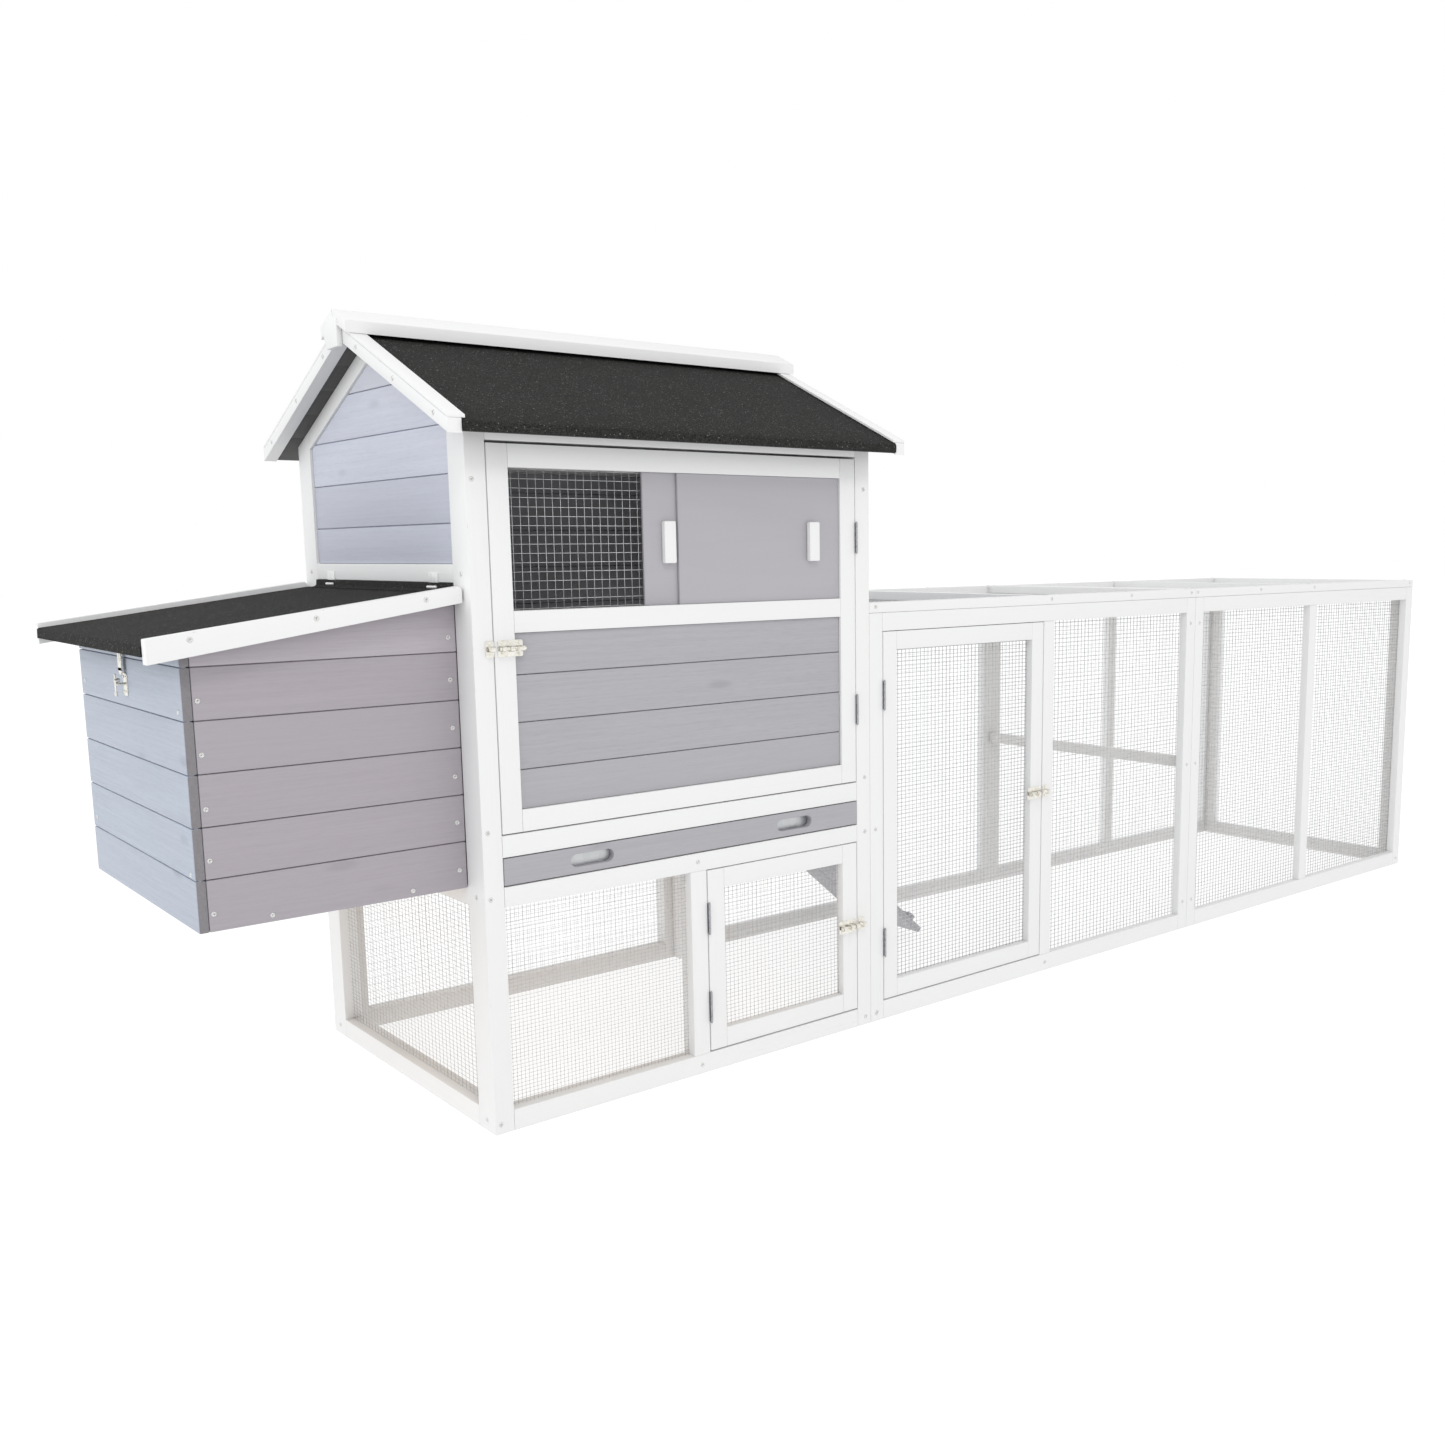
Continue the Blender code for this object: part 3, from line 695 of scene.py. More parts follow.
def houseWalls():
    gap = house["gap"]
    y = (house["postDepth"] + gap, house["depth"] - house["postDepth"] - gap)
    drop = roof["trim"] * slope + 2 * gap
    apex = Vector((0, ridgeY, underRoof(ridgeY) - drop))
    cuts = [(apex, Vector((0, side * roof["pitch"], 1)).normalized()) for side in (-1, 1)]
    low = house["gableRail"][1] + gap
    parts = boardWall("YZ", y, (low, apex.z), (4, 16), boards["joint"], cuts, None, [(1, 0, 0)])
    # the gable's outer face takes the lighter copy, with painted cool light
    greyTimber("left_gable_boarding", "left_gable_boards", parts, 21, [brightCoolLitGrey, grey])
    low = house["trayRail"] + gap
    hole = ((350, 530), (402, 690))
    parts = boardWall("YZ", y, (low, apex.z), (704, 716), boards["joint"], cuts, hole, [(-1, 0, 0)])
    # the wall's outer face takes the bluer copy, with painted cool light
    greyTimber("right_wall_boarding", "right_wall_boards", parts, 22, [coolLitGrey, grey])
    x = (50.6, 669.4)
    z = (low, underRoof(house["depth"]) - 30.9)
    parts = boardWall("XZ", x, z, (579, 591), boards["joint"])
    greyTimber("back_wall_boarding", "back_wall_boards", parts, 23, [grey])
    parts = []
    for i in range(7):
        across = (30.6 + i * 94.14, 30.6 + i * 94.14 + 93.6)
        parts.append((bar(across, (30.6, 564.4), (345.2, 356.8), 0.6), along["y"]))
    greyTimber("house_floor_boards", "house_floor", parts, 24, [bare])


def slopeOutline(side, bottom, top, start, end):
    # a band of the roof between two depths under the felt, from reach start to end off the ridge
    outline = []
    for reach, depth in ((end, bottom), (start, bottom), (start, top), (end, top)):
        y = ridgeY + side * reach
        outline.append((y, roofLine(y, depth)))
    return outline


def roofTimbers():
    length = house["length"]
    run = ridgeY + roof["overhang"]
    verge = roof["verge"]
    for side, where in frontBack.items():
        parts = []
        for i in range(5):
            start = 0.4 + i * (run - 0.4) / 5
            end = start + (run - 0.4) / 5 - 0.5
            outline = slopeOutline(side, roof["board"] + roof["felt"], roof["felt"] + 0.4, start, end)
            parts.append((plank("YZ", outline, 0.3 - verge, length + verge - 0.3, 0.8), along["x"]))
        name = "roof_" + where + "_boards"
        # the roof boards are near-black: painted shade under the eaves
        greyTimber(name, "roof_" + where + "_board", parts, 31 + side, [dark])
        leftEnd = (-verge - roof["barge"], -verge)
        rightEnd = (length + verge, length + verge + roof["barge"])
        for end, x in (("left", leftEnd), ("right", rightEnd)):
            outline = slopeOutline(side, 16.5, -1.2, 0.3, run)
            direction = (0, side * run, -run * roof["pitch"])
            parts = [(plank("YZ", outline, *x, 1.0), direction)]
            lap = (x[0], x[1] + 5) if end == "left" else (x[0] - 5, x[1])
            outline = slopeOutline(side, -1.4, -5.4, 0.3, run)
            parts.append((plank("YZ", outline, *lap, 0.8), direction))
            name = end + "_" + where + "_barge"
            node = end + "_" + where + "_bargeboard"
            whiteTimber(name, node, parts, 40 + side + len(end))
        outline = []
        for reach, rise in ((0.4, 0), (roof["capWidth"], 0), (roof["capWidth"], 1), (0.4, 1)):
            base = roofLine(ridgeY, -5.5) + house["gap"] - roof["pitch"] * reach
            outline.append((ridgeY + side * reach, base + rise * roof["capThick"] * slope))
        far = verge + roof["barge"] + roof["capOverhang"]
        parts = [(plank("YZ", outline, -far, length + far, 1.2), along["x"])]
        if side > 0:
            outline = [(281, 1114), (320, 1113.5), (337, 1146), (299, 1160), (281, 1152)]
            parts += [(plank("YZ", outline, *x, 1.2), along["z"]) for x in ((-50, -41.8), (761.8, 770))]
        node = "ridge_cap_" + where
        whiteTimber(node + "_board", node, parts, 50 + side)


def closeSheet(bm, grid):
    # joins the upper and lower points of a sheet into a closed skin
    rows = len(grid[0])
    columns = len(grid[0][0])
    for lines in grid:
        for j in range(rows - 1):
            for i in range(columns - 1):
                bm.faces.new((lines[j][i], lines[j][i + 1], lines[j + 1][i + 1], lines[j + 1][i]))
    upper, lower = grid
    for j in range(rows - 1):
        for i in (0, columns - 1):
            bm.faces.new((upper[j][i], upper[j + 1][i], lower[j + 1][i], lower[j][i]))
    for i in range(columns - 1):
        for j in (0, rows - 1):
            bm.faces.new((upper[j][i], upper[j][i + 1], lower[j][i + 1], lower[j][i]))
    bmesh.ops.recalc_face_normals(bm, faces=bm.faces)


def laySheet(rows, plane, span, steps, seed, thick):
    # felt along rows of (u, v, direction off the boards), between the two depths span
    bm = bmesh.new()
    shake = random.Random(seed)
    grid = []
    for layer in (0, -thick):
        lines = []
        for u, v, normal in rows:
            line = []
            for i in range(steps + 1):
                across = span[0] + (span[1] - span[0]) * i / steps
                lift = 0.0 if layer else shake.uniform(-0.25, 0.25)
                line.append(bm.verts.new(spot(plane, u, v, across) + normal * (layer + lift)))
            lines.append(line)
        grid.append(lines)
    closeSheet(bm, grid)
    return bm


def plainObject(name, bm, material):
    # a finished piece from a bmesh in millimetres
    for vert in bm.verts:
        vert.co = toWorld(vert.co)
    mesh = bpy.data.meshes.new(name)
    bm.to_mesh(mesh)
    bm.free()
    mesh.materials.append(material)
    smoothed(mesh)
    return linked(name, mesh)


def roofFelt():
    rows = []
    run = ridgeY + roof["overhang"]
    for side in (-1, 1):
        lean = Vector((0, side * roof["pitch"], 1)).normalized()
        line = []
        for reach in (run, run * 0.8, run * 0.6, run * 0.4, run * 0.2, 6):
            y = ridgeY + side * reach
            line.append((y, feltTop(y), lean))
        eave = line[0]
        out = Vector((0, side, 0))
        dressed = [(eave[0] + side * 2.4, eave[1] - drop, out) for drop in (14.5, 8, 2.5)]
        line = dressed + line
        rows += line if side < 0 else list(reversed(line))
    x = (-roof["verge"] + 0.4, house["length"] + roof["verge"] - 0.4)
    bm = laySheet(rows, "YZ", x, 48, 5, roof["felt"])
    standFor(plainObject("roof_felt_sheet", bm, felt), "coop", "black_felt", "roof_felt")


houseFrames()
houseWalls()
roofTimbers()
roofFelt()
print("house built")


# ---- nest box ----

nest = {"length": 361, "front": 50, "back": 545, "bottom": 353, "board": 12, "joint": 353 + 66.4}
lid = {"length": 405, "front": 18, "back": 600, "thin": 17, "height": 768, "pitch": 0.128, "edge": -3}


def lidTop(x):
    return lid["height"] + lid["pitch"] * x


def nestBox():
    thick = nest["board"]
    inner = -nest["length"] + thick + 0.3
    high = lidTop(0) - 18.5
    outward = Vector((-lid["pitch"], 0, 1)).normalized()
    cuts = [(Vector((0, 0, high)), outward)]
    for name, y, seed in (("front", (50, 62), 61), ("back", (533, 545), 62)):
        parts = boardWall("XZ", (inner, -0.3), (nest["bottom"], high), y, nest["joint"], cuts)
        node = "nest_" + name + "_side"
        greyTimber(node + "_boards", node, parts, seed, [lilac])
    x = (-nest["length"], -nest["length"] + thick)
    top = lidTop(x[0]) - 18.5
    sawn = [(0, -1, 0), (0, 1, 0)]
    y = (nest["front"], nest["back"])
    parts = boardWall("YZ", y, (nest["bottom"], top), x, nest["joint"], (), None, sawn)
    # the end's outer face takes the bluer copy, with painted cool light; the sawn board ends take the end
    # grain
    greyTimber("nest_end_boards", "nest_end", parts, 63, [coolLitGrey, endGrain])
    parts = []
    for i in range(5):
        y0 = 62.4 + i * 94.04
        parts.append((bar((inner, -0.4), (y0, y0 + 93.6), (353.2, 365), 0.6), along["x"]))
    parts.append((bar((inner, -0.4), (291.5, 303.5), (365.3, 560), 1.0), along["x"]))
    greyTimber("nest_floor_boards", "nest_floor", parts, 64, [bare])


def lidOutline(bottom, top, x):
    corners = ((x[0], bottom), (x[1], bottom), (x[1], top), (x[0], top))
    return [(u, lidTop(u) - depth) for u, depth in corners]


def nestLid():
    start, end = -lid["length"], lid["edge"]
    direction = (1, 0, lid["pitch"])
    parts = []
    inside = (lid["front"] + lid["thin"] + 0.3, lid["back"] - lid["thin"] - 0.3)
    width = (inside[1] - inside[0]) / 6
    for i in range(6):
        y0 = inside[0] + i * width
        outline = lidOutline(14.5, 2.9, (start + 0.5, end))
        parts.append((plank("XZ", outline, y0, y0 + width - 0.4, 0.8), direction))
    # the lid boards are near-black: painted shade under the lid
    greyTimber("lid_boards", "lid_board", parts, 71, [dark], "nest_lid")
    front = (lid["front"], lid["front"] + lid["thin"])
    back = (lid["back"] - lid["thin"], lid["back"])
    for name, y in (("front", front), ("back", back)):
        outline = [(start, lidTop(start) - 23.7), (end, lidTop(end) - 14.5), (end, lidTop(end) + 4)]
        outline += [(end - 4.5, lidTop(end) + 8), (start, lidTop(start) + 7)]
        parts = [(plank("XZ", outline, *y, 1.4), direction)]
        whiteTimber("lid_" + name + "_bar", "lid_" + name + "_batten", parts, 72 + len(name), "nest_lid")
    lean = Vector((-lid["pitch"], 0, 1)).normalized()
    out = Vector((-1, 0, 0))
    profile = [(start - 1.6, lidTop(start) - drop, out) for drop in (14.5, 7)]
    profile.append((start - 1.2, lidTop(start) - 1.2, Vector((-0.7, 0, 0.7))))
    for i in range(8):
        u = start + 1.5 + (end - start - 1.5) * i / 7
        profile.append((u, lidTop(u), lean))
    bm = laySheet(profile, "XZ", inside, 40, 8, roof["felt"])
    standFor(plainObject("lid_felt_sheet", bm, felt), "nest_lid", "black_felt", "lid_felt")
    flap = [(end - 9, lidTop(end - 9) + 1.4, lean), (end - 3.2, lidTop(end) + 1.6, lean)]
    flap.append((end - 0.9, lidTop(end) + 3.4, Vector((-0.8, 0, 0.6))))
    flap.append((end + 0.4, lidTop(end) + 11.9, out))
    between = (house["postDepth"] + 1, house["depth"] - house["postDepth"] - 1)
    bm = laySheet(flap, "XZ", between, 40, 8, 1.2)
    standFor(plainObject("lid_felt_flap", bm, felt), "nest_lid", "black_felt")


nestBox()
nestLid()
print("nest box built")


# ---- doors, panels and tray ----

doorThick = 20
stile = 31.5
run = {
    "start": 720.3,
    "joint": 1646.5,
    "end": 2573,
    "height": 713.7,
    "bottomRail": 33,
    "topRail": 683,
    "batten": 30,
    "thin": 17,  # of the run's battens and the two smaller doors
    "latch": 1165,
}


def doorFrame(name, node, body, edges, rails, thick, seed):
    # stiles run the full height, and the rails fit between them
    x0, x1, z0, z1 = edges
    y = (0, thick)
    parts = [(bar(x, y, (z0, z1)), along["z"]) for x in ((x0, x0 + stile), (x1 - stile, x1))]
    for low, high in ((z0, z0 + stile), *rails, (z1 - stile, z1)):
        parts.append((bar((x0 + stile + 0.15, x1 - stile - 0.15), y, (low, high)), along["x"]))
    whiteTimber(name, node, parts, seed, body)


window = {"x": (63, 657), "z": (740.5, 934), "panel": (463.5, 710.5)}
slider = {"width": 315.8, "thick": 4, "inner": 282.2, "outer": 340.6, "handle": (21, 9.5, 62), "handleZ": 833}


def upperDoor():
    rails = [(window["panel"][1], window["z"][0])]
    edges = (31.5, 688.5, 432, 965.5)
    doorFrame("upper_door_bars", "upper_door_frame", "upper_door", edges, rails, doorThick, 81)
    x = (window["x"][0] + 0.3, window["x"][1] - 0.3)
    z = (window["panel"][0] + 0.3, window["panel"][1] - 0.3)
    parts = boardWall("XZ", x, z, (4, 16), 519.0)
    greyTimber("upper_door_boarding", "upper_door_boards", parts, 82, [grey], "upper_door")
    for name, left, face, handleX, seed in (
        ("inner", slider["inner"], 8.8, slider["inner"] + 41.8, 83),
        ("outer", slider["outer"], 3.5, slider["outer"] + slider["width"] - 58, 84),
    ):
        body = name + "_window"
        x = (left, left + slider["width"])
        parts = [(bar(x, (face, face + slider["thick"]), (740.8, 933.7), 0.6), along["x"])]
        greyTimber(name + "_window_board", name + "_window_panel", parts, seed, [panelGrey], body)
        width, deep, high = slider["handle"]
        x = (handleX - width / 2, handleX + width / 2)
        z = (slider["handleZ"] - high / 2, slider["handleZ"] + high / 2)
        parts = [(bar(x, (face - deep, face - 0.3), z, 2.6), along["z"])]
        whiteTimber(name + "_handle_block", name + "_panel_handle", parts, seed + 4, body)


def lowerDoors():
    thin = run["thin"]
    edges = (377.5, 688.5, 33.5, 326.5)
    doorFrame("lower_door_bars", "lower_door_frame", "lower_door", edges, [], thin, 91)
    edges = (752, 1163, 35.5, 681.5)
    doorFrame("run_door_bars", "run_door_frame", "run_door", edges, [], thin, 92)


def copyOfPart(node, name, material, bevel):
    # the model's own shape, merged, with softened edges
    piece = frame["nodes"][node].copy()
    piece.data = frame["nodes"][node].data.copy()
    piece.name = name
    piece.parent = None
    for key in list(piece.keys()):
        del piece[key]
    scene.collection.objects.link(piece)
    bm = bmesh.new()
    bm.from_mesh(piece.data)
    bmesh.ops.remove_doubles(bm, verts=bm.verts, dist=0.00001)
    bmesh.ops.dissolve_limit(bm, angle_limit=0.02, verts=bm.verts, edges=bm.edges)
    sharp = [edge for edge in bm.edges if len(edge.link_faces) == 2 and edge.calc_face_angle(0) > 0.9]
    options = {"offset_type": "OFFSET", "segments": 2, "profile": 0.6, "affect": "EDGES"}
    bmesh.ops.bevel(bm, geom=sharp, offset=bevel, **options)
    bm.to_mesh(piece.data)
    bm.free()
    piece.data.materials.clear()
    piece.data.materials.append(material)
    smoothed(piece.data)
    return piece


def giveGrain(piece, direction):
    # one board's grain for a piece that isn't built from planks
    direction = Vector(direction).normalized()
    second = direction.cross(Vector((0, 0, 1))).normalized()
    third = direction.cross(second)
    grain = piece.data.attributes.new("grain", "FLOAT_VECTOR", "POINT")
    places = []
    for vert in piece.data.vertices:
        places += [vert.co.dot(direction) + 7.3, vert.co.dot(second), vert.co.dot(third) + 2.1]
    grain.data.foreach_set("vector", places)
    tone = piece.data.attributes.new("tone", "FLOAT", "POINT")
    tone.data.foreach_set("value", [0.5] * len(piece.data.vertices))


def tray():
    front = copyOfPart("tray_front", "tray_front_board", grey, 0.0012)
    giveGrain(front, (1, 0, 0))
    standFor(front, "tray", "grey_stain", "tray_front")
    pan = copyOfPart("tray_pan", "tray_pan_sheet", zinc, 0.0004)
    standFor(pan, "tray", "galvanised", "tray_pan")


upperDoor()
lowerDoors()
tray()
print("doors and tray built")


# ---- run ----

def panelBars(name, node, plane, edges, stiles, rails, w, seed, inside=None):
    # inside is the direction of the hidden face. A lying panel has none: its rails run through, and
    # its inner edges are worn bare.
    u0, u1, v0, v1 = edges
    wide = run["batten"]
    posts = [(u0, u0 + wide), *stiles, (u1 - wide, u1)]
    names = {"XZ": ("z", "x"), "YZ": ("z", "y"), "XY": ("y", "x")}[plane]
    inner = (v0 + rails[0] + 0.15, v1 - rails[1] - 0.15)
    lying = inside is None
    parts = []
    for i, (left, right) in enumerate(posts):
        isEnd = i in (0, len(posts) - 1)
        span = (v0, v1) if isEnd and not lying else inner
        outline = rectangle((left, right), span)
        sides = [inside]
        if lying:
            sides = [(0.7, 0, 0.7)] * (i < len(posts) - 1) + [(-0.7, 0, 0.7)] * (i > 0)
        parts.append((plank(plane, outline, *w), along[names[0]], 0, sides))
    reach = (u0, u1) if lying else (u0 + wide + 0.15, u1 - wide - 0.15)
    for low, high, way in ((v0, v0 + rails[0], 1), (v1 - rails[1], v1, -1)):
        outline = rectangle(reach, (low, high))
        sides = [(0, 0.7 * way, 0.7)] if lying else [inside]
        parts.append((plank(plane, outline, *w), along[names[1]], 0, sides))
    # the standing panels' hidden faces take the grey painted shade; the lying panels' inner edges take bare
    # timber
    whiteTimber(name, node, parts, seed, second=bare if lying else innerShadePaint)


def runFrames():
    depth = house["depth"]
    thin = run["thin"]
    first = (run["start"], run["joint"] - 0.3)
    second = (run["joint"] + 0.3, run["end"])
    rails = (run["bottomRail"], run["height"] + 0.3 - run["topRail"])
    middles = []
    for low, high in (first, second):
        middle = (low + high) / 2
        middles.append([(middle - 15, middle + 15)])
    latch = [(run["latch"], run["latch"] + 30)]
    top = run["height"]
    front = (0, thin)
    back = (depth - thin, depth)
    halves = (("a", first, latch, middles[0]), ("b", second, middles[1], middles[1]))
    for i, (half, x, stiles, _) in enumerate(halves):
        names = ("run_front_bars_" + half, "run_front_frame_" + half)
        panelBars(*names, "XZ", (*x, 0, top), stiles, rails, front, 101 + i, (0, 1, 0))
    for i, (half, x, _, stiles) in enumerate(halves):
        names = ("run_back_bars_" + half, "run_back_frame_" + half)
        panelBars(*names, "XZ", (*x, 0, top), stiles, rails, back, 103 + i, (0, -1, 0))
    edges = (thin + 0.3, depth - thin - 0.3, 0, top)
    x = (run["end"] - thin, run["end"])
    panelBars("run_end_bars", "run_end_frame", "YZ", edges, [], rails, x, 105, (-1, 0, 0))
    deck = (714, 731)
    for i, (half, x, _, stiles) in enumerate(halves):
        names = ("run_roof_bars_" + half, "run_roof_frame_" + half)
        panelBars(*names, "XY", (*x, 0, depth), stiles, (30, 30), deck, 106 + i)
    y = (18.8, 576.2)
    parts = [(bar((1636.5, 1656.5), y, (351, 373), 1.5), along["y"])]
    # the perch is grey: painted shade inside the run
    timber("run_perch_bar", "run_perch", "coop", "white_paint", [innerShadePaint], parts, 108)


ramp = {
    "foot": (1162, 10),
    "rise": 0.877,
    "sides": (335, 545),
    "top": 726.5,
    "board": 12,
    "cleats": 5,
    "cleat": (16, 9),
}


def buildRamp():
    footX, footZ = ramp["foot"]
    topZ = footZ + ramp["rise"] * (footX - ramp["top"])
    down = Vector((footX - ramp["top"], 0, footZ - topZ)).normalized()
    out = Vector((-down.z, 0, down.x))
    length = (footX - ramp["top"]) / down.x
    start = Vector((ramp["top"], 0, topZ))
    parts = []

    def slab(first, last, low, high, y0, y1, bevel):
        outline = []
        for distance, height in ((first, low), (last, low), (last, high), (first, high)):
            place = start + down * distance + out * height
            outline.append((place.x, place.z))
        return plank("XZ", outline, y0, y1, bevel)

    low, high = ramp["sides"]
    width = (high - low) / 3
    for i in range(3):
        left = low + i * width
        parts.append((slab(0, length, 0, ramp["board"], left, low + (i + 1) * width - 0.6, 1.2), down))
    wide, tall = ramp["cleat"]
    for i in range(ramp["cleats"]):
        place = length * (ramp["cleats"] - i - 0.35) / ramp["cleats"]
        span = (place - wide / 2, place + wide / 2, ramp["board"], ramp["board"] + tall)
        parts.append((slab(*span, low, high - 0.6, 1.5), along["y"]))
    greyTimber("ramp_boards", "ramp", parts, 111, [grey], "ramp")


runFrames()
buildRamp()
print("run and ramp built")


# ---- wire mesh ----

class Nodes:
    # a geometry tree built a node at a time

    def __init__(self, name, inputs):
        self.tree = bpy.data.node_groups.new(name, "GeometryNodeTree")
        self.tree.interface.new_socket("Geometry", in_out="INPUT", socket_type="NodeSocketGeometry")
        self.ids = {}
        for key, kind in inputs:
            self.ids[key] = self.tree.interface.new_socket(key, in_out="INPUT", socket_type=kind).identifier
        self.tree.interface.new_socket("Geometry", in_out="OUTPUT", socket_type="NodeSocketGeometry")
        self.start = self.tree.nodes.new("NodeGroupInput")
        self.end = self.tree.nodes.new("NodeGroupOutput")

    def input(self, key):
        return self.start.outputs[key]

    def add(self, kind, settings=None, values=None, output=0):
        node = self.tree.nodes.new(kind)
        for key, setting in (settings or {}).items():
            setattr(node, key, setting)
        for key, value in (values or {}).items():
            items = value if isinstance(value, list) else [value]
            for item in items:
                if isinstance(item, bpy.types.NodeSocket):
                    self.tree.links.new(item, node.inputs[key])
                else:
                    node.inputs[key].default_value = item
        return node.outputs[output]

    def math(self, operation, first, second=0.0):
        return self.add("ShaderNodeMath", {"operation": operation}, {0: first, 1: second})

    def vector(self, x, y, z):
        return self.add("ShaderNodeCombineXYZ", {}, {0: x, 1: y, 2: z})

    def finish(self, geometry, material):
        real = self.add("GeometryNodeRealizeInstances", {}, {0: geometry})
        smooth = self.add("GeometryNodeSetShadeSmooth", {}, {"Geometry": real, "Shade Smooth": True})
        done = self.add("GeometryNodeSetMaterial", {}, {"Geometry": smooth, "Material": material})
        self.tree.links.new(done, self.end.inputs[0])


def weldedMeshTree():
    # straight wires up, and others across behind them, at the pitch of each
    names = ("Width", "Height", "Across", "Up", "Radius")
    nodes = Nodes("weldedMesh", [(name, "NodeSocketFloat") for name in names])
    width, height, across, up, radius = (nodes.input(name) for name in names)

    def wires(length, reach, pitch, upright):
        whole = nodes.math("FLOOR", nodes.math("DIVIDE", nodes.math("SUBTRACT", reach, 0.002), pitch))
        count = nodes.math("ADD", whole, 1.0)
        used = nodes.math("MULTIPLY", nodes.math("SUBTRACT", count, 1.0), pitch)
        spare = nodes.math("SUBTRACT", reach, used)
        margin = nodes.math("MULTIPLY", spare, 0.5)
        half = nodes.math("MULTIPLY", length, 0.5)
        if upright:
            begin = nodes.vector(margin, 0.0, half)
            step = nodes.vector(pitch, 0.0, 0.0)
        else:
            begin = nodes.vector(half, nodes.math("MULTIPLY", radius, 1.8), margin)
            step = nodes.vector(0.0, 0.0, pitch)
        row = {"Count": count, "Start Location": begin, "Offset": step}
        line = nodes.add("GeometryNodeMeshLine", {"mode": "OFFSET"}, row)
        rod = nodes.add("GeometryNodeMeshCylinder", {}, {"Vertices": 6, "Radius": radius, "Depth": length})
        turn = (0.0, 0.0, 0.0) if upright else (0.0, math.pi / 2, 0.0)
        values = {"Points": line, "Instance": rod, "Rotation": turn}
        return nodes.add("GeometryNodeInstanceOnPoints", {}, values)

    uprights = wires(height, width, across, True)
    both = nodes.add("GeometryNodeJoinGeometry", {}, {0: [uprights, wires(width, height, up, False)]})
    nodes.finish(both, wire)
    return nodes


def madeMesh(carrier, nodes, values):
    # runs a tree on a carrier, and returns the plain mesh
    modifier = carrier.modifiers.new("build", "NODES")
    modifier.node_group = nodes.tree
    for key, value in values.items():
        modifier[nodes.ids[key]] = value
    graph = bpy.context.evaluated_depsgraph_get()
    mesh = bpy.data.meshes.new_from_object(carrier.evaluated_get(graph), depsgraph=graph)
    carrier.modifiers.clear()
    return mesh


def carrierObject(name, places=(), facings=()):
    mesh = bpy.data.meshes.new(name)
    mesh.from_pydata([toWorld(place) for place in places], [], [])
    if facings:
        facing = mesh.attributes.new("facing", "FLOAT_VECTOR", "POINT")
        facing.data.foreach_set("vector", [value for direction in facings for value in direction])
    return linked(name, mesh)


def placeMesh(name, mesh, matrix, body, slotName, *nodes):
    mesh.transform(matrix)
    mesh.name = name
    return standFor(linked(name, mesh), body, slotName, *nodes)


sheets = {
    # body, plane, u span, v span, depth, pitch across, pitch up, wire diameter
    "upper_door_mesh": ("upper_door", "XZ", (60, 660), (738, 937), 15.6, 12.7, 12.7, 0.95),
    "lower_door_mesh": ("lower_door", "XZ", (401, 665), (57, 303), 12.2, 7.9, 6.25, 0.7),
    "run_door_mesh": ("run_door", "XZ", (776, 1139), (60, 657), 12.2, 9.2, 6.9, 1.0),
    "pen_front_mesh": ("coop", "XZ", (30.6, 345.2), (31.3, 327.7), 14.2, 6.35, 5.6, 0.55),
    "pen_back_mesh": ("coop", "XZ", (50.6, 669.4), (31.3, 327.7), 579.4, 12.7, 12.7, 0.45),
    "pen_left_mesh": ("coop", "YZ", (50.3, 544.7), (31.3, 327.7), 14.2, 12.4, 6.4, 0.6),
    "run_front_mesh": ("coop", "XZ", (1171, 2553), (4, 711), 17.5, 11.0, 7.7, 1.0),
    "run_back_mesh": ("coop", "XZ", (722, 2553), (4, 711), 576.2, 12.7, 12.7, 0.45),
    "run_end_mesh": ("coop", "YZ", (19.5, 575.5), (4, 711), 2554.6, 12.7, 12.7, 0.45),
    "run_roof_mesh": ("coop", "XY", (722, 2553), (19.5, 575.5), 712.4, 12.7, 12.7, 0.5),
}
farSheets = ("pen_back_mesh", "run_back_mesh", "run_end_mesh", "run_roof_mesh")


def wireSheets():
    nodes = weldedMeshTree()
    carrier = carrierObject("wire_carrier", [(0, 0, 0)])
    turns = {
        "XZ": Matrix.Identity(4),
        "YZ": Matrix.Rotation(math.pi / 2, 4, "Z"),
        "XY": Matrix.Rotation(-math.pi / 2, 4, "X"),
    }
    for node, (body, plane, u, v, depth, across, up, thick) in sheets.items():
        values = {
            "Width": (u[1] - u[0]) * 0.001,
            "Height": (v[1] - v[0]) * 0.001,
            "Across": across * 0.001,
            "Up": up * 0.001,
            "Radius": thick * 0.0005,
        }
        mesh = madeMesh(carrier, nodes, values)
        if node in farSheets:
            mesh.materials[0] = brightWire
        begin = toWorld(spot(plane, u[0], v[0], depth))
        placeMesh(node + "_wires", mesh, Matrix.Translation(begin) @ turns[plane], body, "galvanised", node)
    bpy.data.objects.remove(carrier, do_unlink=True)


wireSheets()
print("wire mesh made")


# ---- screws ----

screw = {"head": 3.6, "flat": 2.6, "rise": 0.9, "cross": (4.2, 0.8, 0.7)}


